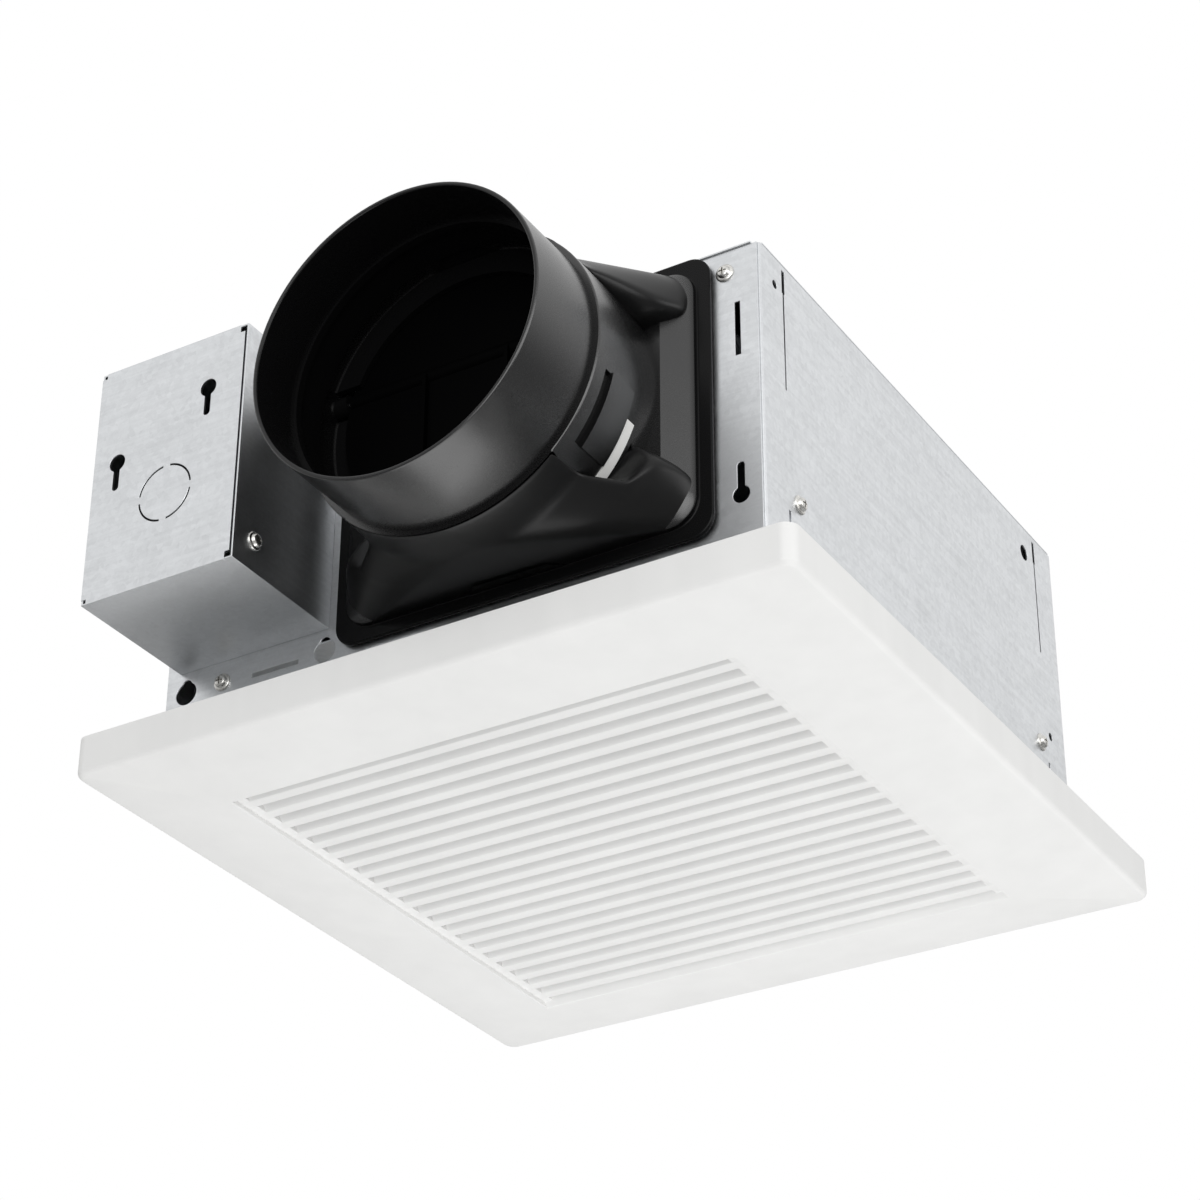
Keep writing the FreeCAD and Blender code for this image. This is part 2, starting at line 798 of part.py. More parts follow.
def side_panel(side, label):
    """Side wall with front and rear returns, an out-turned ceiling flange and its slits."""
    def spread(low, high):
        return (low, high) if side > 0 else (-high, -low)

    reach = half_depth - steel
    inner_return = wall_inside - size("wall_return")
    flange_edge = half_width + size("ceiling_flange")
    flange_reach = half_depth - size("flange_setback")
    wall = join([
        box(spread(wall_inside, half_width), (-reach, reach), (0, top_under)),
        box(spread(inner_return, half_width), (-reach, -reach + steel), (0, top_under)),
        box(spread(inner_return, half_width), (reach - steel, reach), (0, top_under)),
    ])
    bent = rounded(wall, size("corner_bend"), is_outer_corner(side))
    flange = box(spread(half_width, flange_edge), (-flange_reach, flange_reach), (0, steel))
    across = spread(wall_inside - steel, half_width + steel)
    slit_half = size("slit_width") / 2
    slit_high = top_under - size("slit_top")
    slit_low = slit_high - size("slit_length")
    slit_y = half_depth - size("slit_setback")
    head_half = size("slit_head_width") / 2
    foot = size("strip_keyhole_height")
    foot_half = size("foot_slit_width") / 2
    hole_z = slit_high - size("slit_head_length")
    tools = []
    for y in (-slit_y, slit_y):
        tools.append(box(across, (y - slit_half, y + slit_half), (slit_low, slit_high)))
        tools.append(box(across, (y - head_half, y + head_half), (hole_z, slit_high)))
        tools.append(box(across, (y - foot_half, y + foot_half), (foot - size("foot_slit_length"), foot)))
    tools.append(rod("x", (slit_y - size("side_hole_offset"), hole_z), across, size("side_hole_radius")))
    tools.append(rod("x", (slit_y + size("rear_pilot_offset"), foot + size("pilot_rise")), across,
                     size("pilot_radius")))
    tools.append(rod("x", (-slit_y - size("front_pilot_offset"), hole_z), across, size("pilot_radius")))
    for y in (arm_front_y, arm_rear_y):
        tools.append(rod("x", (y, inlet_screw_z), across, screw_hole))
    return_y = (-reach - steel, -reach + steel * 2)
    gap = size("keyhole_backing_gap")
    if side > 0:
        tools.append(rod("y", (strip_screw_x, strip_screw_z), return_y, screw_hole))
        slot_half = size("strip_slot_width") / 2 + gap
        slot_z = (size("strip_slot_height") - gap, size("strip_slot_height") + size("strip_slot_length") + gap)
        tools.append(box((strip_x - slot_half, strip_x + slot_half), return_y, slot_z))
        wide = size("strip_keyhole_radius") + gap
        window = (foot - wide, foot + size("strip_keyhole_length") + wide)
        tools.append(box((strip_x - wide, strip_x + wide), return_y, window))
    else:
        window_x = box_left + size("low_keyhole_left_inset")
        wide = size("low_keyhole_radius") + gap
        tools.append(box((window_x - wide, window_x + wide), return_y,
                         (steel, size("low_keyhole_height") + wide)))
        tools += [rod("y", place_xz, return_y, size("rivet_radius") + size("rivet_clearance"))
                  for place_xz in rivet_places() if is_over_return(place_xz[0])]
    rear_y = (reach - steel * 2, reach + steel)
    tools += [rod("y", (x, z), rear_y, screw_hole)
              for x, z in rear_screw_places() if float(x) * side > 0]
    hole_x = half_width + size("ceiling_flange") / 2
    for y in (-size("mount_spacing") / 2, size("mount_spacing") / 2):
        tools.append(rod("z", (hole_x * side, y), (-steel, steel * 2), size("mount_hole_radius")))
    part(cut(join([bent, flange]), tools), label)


def is_outer_corner(side):
    """A test for the upright outer corners of a side panel."""
    along_z = runs_along("z")

    def test(edge):
        middle = edge.CenterOfMass
        at_wall = abs(middle.x - side * float(half_width)) < 0.01
        at_end = abs(abs(middle.y) - float(half_depth - steel)) < 0.01
        return along_z(edge) and at_wall and at_end

    return test


def spring_reach():
    """Half the slot that the spring's arms lean against at rest."""
    rise = float(size("bracket_height") + steel - spring_z)
    splay = math.radians(float(size("spring_splay")))
    coil = float(size("spring_coil"))
    lean = coil / math.cos(splay) + rise * math.tan(splay)
    edge = float(size("spring_wire")) / math.cos(splay)
    return lean + edge + float(size("spring_slot_gap"))


def spring_bracket(side, label):
    """Angle bracket on a side wall, with the slot that the spring's arms pass through."""
    def spread(low, high):
        return (low, high) if side > 0 else (-high, -low)

    slot = spring_reach()
    reach = slot + float(size("bracket_margin"))
    low = size("bracket_height")
    half = size("bracket_slot") / 2
    shelf = box(spread(wall_inside - size("bracket_reach"), wall_inside), (-reach, reach), (low, low + steel))
    leg = box(spread(wall_inside - steel, wall_inside), (-reach, reach), (low, low + size("bracket_leg")))
    opening = box(spread(spring_x - half, spring_x + half), (-slot, slot), (low - steel, low + steel * 2))
    part(cut(join([shelf, leg]), [opening]), label)


def rivet_places():
    """Rivets through the back lips of the wiring box."""
    inset = steel + size("box_back_lip") / 2
    rise = size("box_height") / 6
    return [(x, z) for x in (box_left + inset, box_right - inset)
            for z in (box_bottom + rise, box_top - rise)]


def wiring_box():
    """Four-walled box with back lips that are riveted to the front panel."""
    lip = size("box_back_lip")
    inside_x = (box_left + steel, box_right - steel)
    inside_z = (box_bottom + steel, box_top - steel)
    outside = box((box_left, box_right), (box_front, front), (box_bottom, box_top))
    hollow = box(inside_x, (box_front - steel, front - steel), inside_z)
    window = box((inside_x[0] + lip, inside_x[1] - lip), (front - steel * 2, front + steel), inside_z)
    tools = [hollow, window]
    screw_y = box_front + size("cover_screw_setback")
    screw_z = box_bottom + size("cover_screw_height")
    ends = (box_left - steel, box_right + steel)
    tools.append(rod("x", (screw_y, screw_z), (ends[0], box_left + steel * 2), screw_hole))
    tools.append(rod("x", (screw_y, screw_z), (box_right - steel * 2, ends[1]), screw_hole))
    hole = size("rivet_radius") + size("rivet_clearance")
    tools += [rod("y", (x, z), (front - steel * 2, front + steel), hole) for x, z in rivet_places()]
    part(cut(outside, tools), "wiring_box")


def wiring_box_cover():
    """Cover inside the box's mouth: keyholes, a knockout held by four bridges, side flanges."""
    gap = steel + size("cover_gap")
    face = box_front + size("cover_setback")
    x = (box_left + gap, box_right - steel - size("cover_side_gap"))
    z = (box_bottom + gap, box_top - gap)
    depth = (face, face + size("cover_flange"))
    notch = size("cover_notch")
    flange_z = (z[0] + notch, z[1] - notch)
    tray = join([
        box(x, (face, face + steel), z),
        box((x[0], x[0] + steel), depth, flange_z),
        box((x[1] - steel, x[1]), depth, flange_z),
    ])
    through = (face - steel, face + steel * 2)
    tools = []
    for corner_x, reach in ((x[0], size("cover_heel_notch")), (x[1], notch)):
        for corner_z in z:
            tools.append(box((corner_x - reach, corner_x + reach), through, (corner_z - reach, corner_z + reach)))
    for name in ("first", "second"):
        head = (box_right - size(f"{name}_keyhole_inset"), box_bottom + size(f"{name}_keyhole_height"))
        tools.append(keyhole(head, through, size("cover_keyhole_radius"),
                             size("cover_keyhole_slot"), -size("cover_keyhole_length")))
    tools.append(knockout_cut(through))
    screw_y = box_front + size("cover_screw_setback")
    screw_z = box_bottom + size("cover_screw_height")
    tools.append(rod("x", (screw_y, screw_z), (x[0] - steel, x[1] + steel), screw_hole))
    part(cut(tray, tools), "wiring_box_cover")


def knockout_cut(through):
    """A tool for the ring cut round the knockout, broken by four bridges."""
    x = box_right - size("knockout_inset")
    z = box_bottom + size("knockout_height")
    outer = size("knockout_radius") + size("knockout_cut")
    half = size("knockout_bridge") / 2
    disc = rod("y", (x, z), through, outer)
    bridges = [
        rod("y", (x, z), through, size("knockout_radius")),
        box((x - outer, x + outer), through, (z - half, z + half)),
        box((x - half, x + half), through, (z - outer, z + outer)),
    ]
    return cut(disc, bridges)


def is_over_return(x):
    """Whether a point on the front panel lies over the return of a side panel."""
    return abs(float(x)) > float(wall_inside - size("wall_return"))


def wiring_box_rivets():
    """Rivets that join the box's back lips to the front panel and the left panel's return."""
    rivets = []
    for x, z in rivet_places():
        back = front_inside + steel if is_over_return(x) else front_inside
        head = rod("y", (x, z), (front - steel - size("rivet_head"), front - steel), size("rivet_head_radius"))
        shank = rod("y", (x, z), (front - steel, back), size("rivet_radius"))
        tail = rod("y", (x, z), (back, back + size("rivet_head")), size("rivet_head_radius"))
        rivets.append(join([head, shank, tail]))
    part(group(rivets), "wiring_box_rivets")


def terminal_block():
    """Push-in terminal block that passes through the front panel into the wiring box."""
    half = size("terminal_width") / 2
    tall = size("terminal_height") / 2
    lip = size("terminal_lip")
    body = box((terminal_x - half, terminal_x + half),
               (front - size("terminal_front"), front_inside + size("terminal_back")),
               (terminal_z - tall, terminal_z + tall))
    flange = box((terminal_x - half - lip, terminal_x + half + lip), (front - lip, front),
                 (terminal_z - tall - lip, terminal_z + tall + lip))
    face = front - size("terminal_front")
    ports = [rod("y", (terminal_x + half * share, terminal_z),
                 (face - steel, face + size("wire_port_depth")), size("wire_port_radius"))
             for share in (-0.6, 0.0, 0.6)]
    part(cut(join([body, flange]), ports), "terminal_block")


def motor_plug():
    """Plug on the blower's side of the terminal block."""
    half = size("plug_width") / 2
    tall = size("plug_height") / 2
    back = front_inside + size("terminal_back")
    body = box((terminal_x - half, terminal_x + half), (back, back + size("plug_depth")),
               (terminal_z - tall, terminal_z + tall))
    part(rounded(body, size("terminal_lip") / 2, runs_along("y")), "motor_plug")


def tube_along(points, radius, bend):
    """A round tube along straight runs joined by tangent arcs, with its volume checked."""
    corners = [Vector(*[float(value) for value in point]) for point in points]
    edges = []
    start = corners[0]
    for index in range(1, len(corners) - 1):
        before = (corners[index] - corners[index - 1]).normalize()
        after = (corners[index + 1] - corners[index]).normalize()
        turn = before.getAngle(after)
        trim = bend * math.tan(turn / 2)
        first = corners[index] - before * trim
        last = corners[index] + after * trim
        inward = (after - before).normalize()
        centre = corners[index] + inward * (bend / math.cos(turn / 2))
        edges.append(Part.LineSegment(start, first).toShape())
        edges.append(Part.Arc(first, centre - inward * bend, last).toShape())
        start = last
    edges.append(Part.LineSegment(start, corners[-1]).toShape())
    return swept(edges, radius)


def swept(edges, radius):
    """A round section swept along joined edges."""
    path = Part.Wire(edges)
    first = edges[0]
    direction = first.tangentAt(first.FirstParameter)
    section = Part.Wire(Part.makeCircle(radius, first.valueAt(first.FirstParameter), direction))
    shape = path.makePipeShell([section], True, False)
    expected = math.pi * radius ** 2 * path.Length
    if abs(shape.Volume - expected) > 0.01 * expected:
        raise RuntimeError(f"tube volume {shape.Volume:.1f}, expected {expected:.1f}")
    return shape


def motor_lead():
    """Lead from the motor up over the scroll's lid and down to the plug, and its two bushings."""
    up_x = axis_x + size("lead_offset")
    high = scroll_lid + size("lead_height")
    plug_top = terminal_z + size("plug_height") / 2
    points = [
        (up_x, axis_y, motor_top - size("lead_entry")),
        (up_x, axis_y, high),
        (terminal_x, lead_down_y, high),
        (terminal_x, lead_down_y, plug_top),
    ]
    bend = float(size("lead_bend"))
    print(f"motor lead bends: radius {bend:.1f} mm")
    part(solid(tube_along(points, float(size("lead_radius")), bend)), "motor_lead")
    bore = size("lead_radius") + size("bushing_clearance") * 2
    groove = bore + size("bushing_wall")
    lip = groove + size("bushing_lip")
    profile = [
        (bore, -size("bushing_lip")),
        (lip, -size("bushing_lip")),
        (lip, 0),
        (groove, 0),
        (groove, steel),
        (lip, steel),
        (lip, steel + size("bushing_lip")),
        (bore, steel + size("bushing_lip")),
    ]
    bushings = [turned(x, y, scroll_top, profile) for x, y in bushing_places()]
    part(group(bushings), "lead_bushings")


def bushing_places():
    """Where the motor lead passes through the scroll's lid."""
    return [(axis_x + size("lead_offset"), axis_y), (terminal_x, lead_down_y)]


def run_capacitor():
    """Box capacitor behind the front panel, its strap on the inlet plate, and its lead up to the plug."""
    gap = size("clip_gap")
    half = size("capacitor_width") / 2
    floor = inlet_top + steel
    high = capacitor_top
    back = front_inside + size("capacitor_depth")
    centre = plate_left + half
    body = box((centre - half, centre + half), (front_inside, back), (capacitor_floor, high))
    part(rounded(body, size("capacitor_corner"), runs_along("z")), "run_capacitor")
    strap = (centre - size("clip_strap") / 2, centre + size("clip_strap") / 2)
    rear = (back + gap, back + gap + steel)
    clip = join([
        box(strap, (front_inside, rear[1] + size("clip_ear")), (inlet_top, floor)),
        box(strap, rear, (inlet_top, high + gap + steel)),
        box(strap, (front_inside, rear[1]), (high + gap, high + gap + steel)),
    ])
    part(clip, "capacitor_clip")
    lead_x = centre + half - size("capacitor_lead_inset")
    lead = rod("z", (lead_x, lead_down_y), (high, terminal_z - size("plug_height") / 2),
               size("capacitor_lead_radius"))
    part(lead, "capacitor_lead")


def adapter_hollow():
    """The air path through the adapter: throat, neck bore, inner lip and collar bore."""
    lip_front = collar_rim + size("inner_lip_depth")
    lip_back = lip_front + size("inner_lip_width")
    shrink = size("shoulder_run")
    throat = wedge(
        (throat_left + shrink, throat_right - shrink),
        (plateau + size("adapter_wall"), adapter_back),
        (adapter_z - throat_half_height + shrink, adapter_z + throat_half_height - shrink),
        (throat_left, throat_right),
        (adapter_z - throat_half_height, adapter_z + throat_half_height),
    )
    neck_start = neck_front + size("neck_wall")
    bore = common(rod("y", collar_centre, (neck_start, adapter_back), neck_bore), neck_clip(size("neck_wall")))
    mouth = rod("y", collar_centre, (collar_rim - steel, lip_front), collar_bore)
    waist = rod("y", collar_centre, (lip_front - steel, lip_back + steel),
                collar_bore - size("inner_lip_step"))
    rear = rod("y", collar_centre, (lip_back, neck_start + steel), collar_bore)
    return [throat, bore, mouth, waist, rear]


def neck_clip(wall):
    """A tapered block that keeps the round neck within the flange's height where they meet."""
    near = shoulder_half_height - wall
    far = neck_radius + size("collar_rise") - wall
    wide = (adapter_x - neck_radius - steel, adapter_x + neck_radius + steel)
    return wedge(wide, (neck_front - steel, adapter_back), (adapter_z - far, adapter_z + far),
                 wide, (adapter_z - near, adapter_z + near))


def damper_lines():
    """The damper's pivot and the faces of its plate and seats, from the duct inwards."""
    pivot_y = neck_front + size("flap_pivot_setback")
    pivot_z = collar_z + size("flap_pivot_rise")
    return pivot_y, pivot_z, pivot_y - size("flap_thickness")


def damper_seats():
    """Half rings in the neck: the flap's lower part closes against one, its upper part under the other."""
    pivot_y, pivot_z, plate_front = damper_lines()
    bore = size("flap_radius") - size("seat_overlap")
    outer = neck_bore + size("neck_wall") / 2
    gap = size("seat_gap")
    low_face = pivot_y + size("seal_thickness") + gap
    high_face = plate_front - gap
    span = (adapter_x - outer - steel, adapter_x + outer + steel)
    seats = []
    ends = ((low_face, low_face + size("seat_thickness")), (high_face - size("seat_thickness"), high_face))
    keep = ((collar_z - outer - steel, pivot_z - size("seat_break")),
            (pivot_z + size("seat_break"), collar_z + outer + steel))
    for along, kept in zip(ends, keep):
        disc = cut(rod("y", collar_centre, along, outer), [rod("y", collar_centre, along, bore)])
        half_ring = common(disc, box(span, along, kept))
        seats.append(common(half_ring, neck_clip(size("neck_wall") / 2)))
    return seats


def pin_bosses():
    """Bosses inside the neck for the damper's pin."""
    pivot_y, pivot_z, _ = damper_lines()
    near, far = pin_ends()
    inner = near + size("pin_boss_gap")
    return [
        rod("x", (pivot_y, pivot_z), (adapter_x + inner, adapter_x + far), size("pin_boss_radius")),
        rod("x", (pivot_y, pivot_z), (adapter_x - far, adapter_x - inner), size("pin_boss_radius")),
    ]


def pin_ends():
    """Half widths at the pivot's height: of the flap, and of the neck's bore."""
    rise = float(size("flap_pivot_rise"))
    near = math.sqrt(float(size("flap_radius")) ** 2 - rise ** 2)
    far = math.sqrt(float(neck_bore) ** 2 - rise ** 2) + float(size("neck_wall")) / 2
    return near, far


def duct_adapter():
    """Black moulding: flange, shoulder, neck, collar, latch tab, damper seats and snap hooks."""
    flange = rounded_block(
        "y",
        (adapter_x - adapter_half_width, adapter_x + adapter_half_width),
        (adapter_face, adapter_back),
        (adapter_z - adapter_half_height, adapter_z + adapter_half_height),
        size("adapter_corner_radius"),
    )
    wide = (adapter_x - shoulder_half_width, adapter_x + shoulder_half_width)
    tall = (adapter_z - shoulder_half_height, adapter_z + shoulder_half_height)
    run = size("shoulder_run")
    corner = size("shoulder_corner_radius")
    step = rounded_block("y", wide, (shoulder_face, adapter_face + steel), tall, corner)
    web_start = plateau - size("web_setback")
    roofs = [adapter_roof(rise, neck_front + steel, size("roof_foot")) for rise in (1, -1)]
    webs = [adapter_roof(rise, web_start, size("web_foot")) for rise in (1, -1)]
    slope = lofted(
        adapter_outline(shoulder_half_width - run, shoulder_half_height - run, plateau,
                        size("plateau_corner_radius")),
        adapter_outline(shoulder_half_width, shoulder_half_height, shoulder_face, corner),
    )
    neck = common(rod("y", collar_centre, (neck_front, adapter_back), neck_radius), neck_clip(0.0))
    collar = rod("y", collar_centre, (collar_rim, neck_front + steel), size("collar_radius"))
    latch, latch_groove, catch_pocket = latch_pieces()
    shell = join_in_turn([neck] + roofs + [flange, step, slope] + webs + [collar, latch])
    for hollow in adapter_hollow():
        shell = cut(shell, [hollow])
    filled = join_in_turn([shell] + damper_seats() + pin_bosses() + snap_hooks())
    pivot_y, pivot_z, _ = damper_lines()
    _, far = pin_ends()
    pin_hole = rod("x", (pivot_y, pivot_z), (adapter_x - far, adapter_x + far),
                   size("pin_radius") + size("pin_clearance"))
    part(cut(filled, [pin_hole, latch_groove, catch_pocket]), "duct_adapter")


def adapter_roof(rise, start, neck_foot):
    """A ruled roof from an upper arc of the neck to the flange's top corners, or from a lower arc if rise is -1."""
    radius = float(neck_radius - size("roof_sink"))
    ahead = Vector(float(adapter_x), float(start), float(collar_z))
    behind = Vector(float(adapter_x), float(adapter_back), float(adapter_z))
    foot = math.asin(float(neck_foot) / radius)
    shares = [0.0] + [float(size(alias)) for alias in ("roof_side_share", "roof_corner_share")]
    turns = [foot + (math.pi / 2 - foot) * share for share in shares]
    turns += [math.pi - turn for turn in reversed(turns)]

    def on_neck(turn):
        return ahead + Vector(math.cos(turn), 0, math.sin(turn) * rise) * radius

    arcs = [Part.Arc(on_neck(begin), on_neck((begin + end) / 2), on_neck(end)).toShape()
            for begin, end in zip(turns, turns[1:])]
    chord = Part.LineSegment(on_neck(turns[-1]), on_neck(turns[0])).toShape()
    wide = float(shoulder_half_width - size("roof_inset"))
    low = float(size("roof_flange_foot"))
    high = float(shoulder_half_height)
    corner = float(size("shoulder_corner_radius"))
    bend = corner * (1 - math.sqrt(0.5))
    right = [(wide, low), (wide, high - corner), (wide - bend, high - bend), (wide - corner, high)]
    left = [(-x, z) for x, z in reversed(right)]
    spots = [behind + Vector(x, 0, z * rise) for x, z in right + left]
    border = [
        Part.LineSegment(spots[0], spots[1]).toShape(),
        Part.Arc(spots[1], spots[2], spots[3]).toShape(),
        Part.LineSegment(spots[3], spots[4]).toShape(),
        Part.Arc(spots[4], spots[5], spots[6]).toShape(),
        Part.LineSegment(spots[6], spots[7]).toShape(),
        Part.LineSegment(spots[7], spots[0]).toShape(),
    ]
    return lofted(Part.Wire(arcs + [chord]), Part.Wire(border))


def lofted(first, last):
    """A ruled solid between two outlines, with its faces turned outwards."""
    shape = Part.makeLoft([first, last], True, True)
    if shape.Volume < 0:
        shape.reverse()
    return solid(shape)


def adapter_outline(half_wide, half_tall, y, corner):
    """A rectangle with rounded corners about the adapter's axis, across Y."""
    radius = float(corner)
    middle = Vector(float(adapter_x), float(y), float(adapter_z))
    wide = float(half_wide) - radius
    tall = float(half_tall) - radius
    arcs = []
    for quarter, (side, rise) in enumerate(((1, 1), (-1, 1), (-1, -1), (1, -1))):
        centre = middle + Vector(side * wide, 0, rise * tall)
        turns = [math.radians(90 * quarter + step) for step in (0, 45, 90)]
        arcs.append([centre + Vector(math.cos(turn), 0, math.sin(turn)) * radius for turn in turns])
    edges = []
    for arc, following in zip(arcs, arcs[1:] + arcs[:1]):
        edges.append(Part.Arc(*arc).toShape())
        edges.append(Part.LineSegment(arc[2], following[0]).toShape())
    return Part.Wire(edges)


def latch_pieces():
    """The raised latch tab on the neck, the groove at its front, and the pocket of the white catch."""
    catch = catch_range()
    back = catch[0] - size("latch_gap")
    tab_y = (back - size("latch_width"), back)
    first = size("latch_start")
    sweep = size("latch_sweep")
    tab = sector(collar_centre, tab_y, neck_radius + size("latch_rise"), first, sweep)
    groove_y = (tab_y[0] - size("latch_slot"), tab_y[0])
    floor = neck_radius - size("catch_depth")
    reach = neck_radius + size("latch_rise") * 2
    groove = cut(sector(collar_centre, groove_y, reach, first, sweep),
                 [rod("y", collar_centre, groove_y, floor)])
    pocket = cut(sector(collar_centre, catch, reach, size("catch_start"), size("catch_sweep")),
                 [rod("y", collar_centre, catch, floor)])
    return tab, groove, pocket


def catch_range():
    """Where the white catch lies along the neck."""
    back = plateau - size("catch_setback")
    return back - size("catch_width"), back


def collar_catch():
    """White curved catch in its pocket on the neck."""
    gap = size("catch_gap")
    low, high = catch_range()
    along = (low + gap, high - gap)
    outer = neck_radius + size("catch_rise")
    turn = math.degrees(float(gap) / float(neck_radius))
    strip = sector(collar_centre, along, outer, float(size("catch_start")) + turn,
                   size("catch_sweep") - turn * 2)
    floor = rod("y", collar_centre, along, neck_radius - size("catch_depth") + gap)
    part(cut(strip, [floor]), "collar_catch")


def hook_places():
    """Each snap hook: the side that it faces, its inner and outer face, and its bottom and top."""
    half = size("hook_width") / 2
    outer = adapter_half_width - size("hook_inset")
    inner = outer - size("hook_wall")
    places = []
    for side in (-1, 1):
        for rise in (-adapter_half_height / 2, adapter_half_height / 2):
            middle = adapter_z + rise
            places.append((side, inner, outer, middle - half, middle + half))
    return places


def between(side, low, high):
    """A range measured from the adapter's middle towards one side."""
    return (adapter_x + low, adapter_x + high) if side > 0 else (adapter_x - high, adapter_x - low)


def snap_hooks():
    """Hooks that reach through slots beside the outlet and catch behind the front panel."""
    catch = size("hook_catch")
    start = front_inside + size("seat_gap")
    end = start + catch * 2
    hooks = []
    for side, inner, outer, low, high in hook_places():
        hooks.append(box(between(side, inner, outer), (adapter_face, end), (low, high)))
        hooks.append(box(between(side, inner, outer + catch), (start, end), (low, high)))
    return hooks


def hook_slots(through):
    """Tools for the slots that the snap hooks pass through."""
    gap = size("seat_gap")
    return [box(between(side, inner - gap, outer + gap), through, (low - gap, high + gap))
            for side, inner, outer, low, high in hook_places()]


def adapter_gasket():
    """Foam ring between the adapter's flange and the front panel."""
    inset = size("gasket_inset")
    outer = rounded_block(
        "y",
        (adapter_x - adapter_half_width + inset, adapter_x + adapter_half_width - inset),
        (adapter_back, front),
        (adapter_z - adapter_half_height + inset, adapter_z + adapter_half_height - inset),
        size("adapter_corner_radius") - inset,
    )
    window = box((throat_left, throat_right), (adapter_back - steel, front + steel),
                 (adapter_z - throat_half_height, adapter_z + throat_half_height))
    part(cut(outer, [window] + hook_slots((adapter_back - steel, front + steel))), "adapter_gasket")


def damper_flap():
    """Off-centre flap with its barrel and ribs, the pin through it and the foam seal of its lower part."""
    pivot_y, pivot_z, plate_front = damper_lines()
    near, far = pin_ends()
    radius = size("flap_radius")
    barrel_span = (adapter_x - near, adapter_x + near)
    disc = rod("y", collar_centre, (plate_front, pivot_y), radius)
    barrel = rod("x", (pivot_y, pivot_z), barrel_span, size("flap_barrel_radius"))
    rib = size("flap_rib")
    half = size("flap_thickness") / 2
    spread = size("flap_rib_spread")
    ribs = [box((adapter_x + x - half, adapter_x + x + half), (plate_front - rib, plate_front),
                (collar_z - radius * size("flap_rib_share"), pivot_z)) for x in (-spread, spread)]
    bore = rod("x", (pivot_y, pivot_z), barrel_span, size("pin_radius") + size("pin_clearance"))
    part(cut(join([disc, barrel] + ribs), [bore]), "damper_flap")
    reach = far - float(size("pin_clearance"))
    part(rod("x", (pivot_y, pivot_z), (adapter_x - reach, adapter_x + reach), size("pin_radius")), "damper_pin")
    along = (pivot_y, pivot_y + size("seal_thickness"))
    hoop = cut(rod("y", collar_centre, along, radius),
               [rod("y", collar_centre, along, radius - size("seal_width"))])
    kept = box((adapter_x - radius - steel, adapter_x + radius + steel), along,
               (collar_z - radius - steel, pivot_z - size("seat_break")))
    part(common(hoop, kept), "damper_seal")


def scroll_edges(offset):
    """The scroll's wall in plan: right outlet wall, three tangent arcs, tongue, left outlet wall."""
    half = float(scroll_half_step)
    x = float(axis_x)
    y = float(axis_y)
    tongue = float(size("tongue_radius"))
    left = float(throat_left)
    third = float(third_radius)
    start = Vector(float(throat_right) + offset, float(front_inside), 0)
    arcs = [
        (Vector(x + half, y - half, 0), float(first_radius) + offset, 0, 90),
        (Vector(x + half, y + half, 0), float(second_radius) + offset, 90, 180),
    ]
    pivot = Vector(x - half, y + half, 0)
    end = 360 - math.degrees(math.acos((left - tongue - pivot.x) / (third + tongue)))
    arcs.append((pivot, third + offset, 180, end))
    nose_angle = math.radians(end)
    nose = pivot + Vector(math.cos(nose_angle), math.sin(nose_angle), 0) * (third + tongue)
    arcs.append((nose, tongue - offset, end - 180, 0))
    edges = []
    point = start
    for centre, radius, first, last in arcs:
        spots = [centre + Vector(math.cos(angle), math.sin(angle), 0) * radius
                 for angle in map(math.radians, (first, (first + last) / 2, last))]
        if (spots[0] - point).Length > 1e-6:
            edges.append(Part.LineSegment(point, spots[0]).toShape())
        edges.append(Part.Arc(*spots).toShape())
        point = spots[2]
    finish = Vector(point.x, float(front_inside), 0)
    edges.append(Part.LineSegment(point, finish).toShape())
    return edges, start, finish


def scroll_wall():
    """Spiral wall of the blower, open towards the outlet."""
    inner, inner_start, inner_end = scroll_edges(0.0)
    outer, outer_start, outer_end = scroll_edges(float(steel))
    closing = [
        Part.LineSegment(inner_start, outer_start).toShape(),
        Part.LineSegment(inner_end, outer_end).toShape(),
    ]
    outline = Part.Wire(Part.__sortEdges__(inner + outer + closing))
    wall = Part.Face(outline).extrude(Vector(0, 0, float(scroll_top - inlet_top)))
    item = part(solid(wall), "scroll_wall")
    place(item, 0, 0, inlet_top)


def motor_ear_places():
    """Where the motor's three ears are screwed up to the scroll's lid."""
    reach = float(size("ear_circle"))
    places = []
    for turn in (90, 210, 330):
        angle = math.radians(turn)
        places.append((axis_x + reach * math.cos(angle), axis_y + reach * math.sin(angle)))
    return places


def scroll_top_plate():
    """Lid of the scroll, which carries the motor and hangs from the posts."""
    plate = box((plate_left, plate_right), (front_inside, plate_rear), (scroll_top, scroll_lid))
    through = (scroll_top - steel, scroll_lid + steel)
    tools = [rod("z", place_xy, through, screw_hole) for place_xy in motor_ear_places()]
    groove = (size("lead_radius") + size("bushing_clearance") * 2 + size("bushing_wall")
              + size("bushing_clearance"))
    tools += [rod("z", place_xy, through, groove) for place_xy in bushing_places()]
    part(cut(plate, tools), "scroll_top_plate")


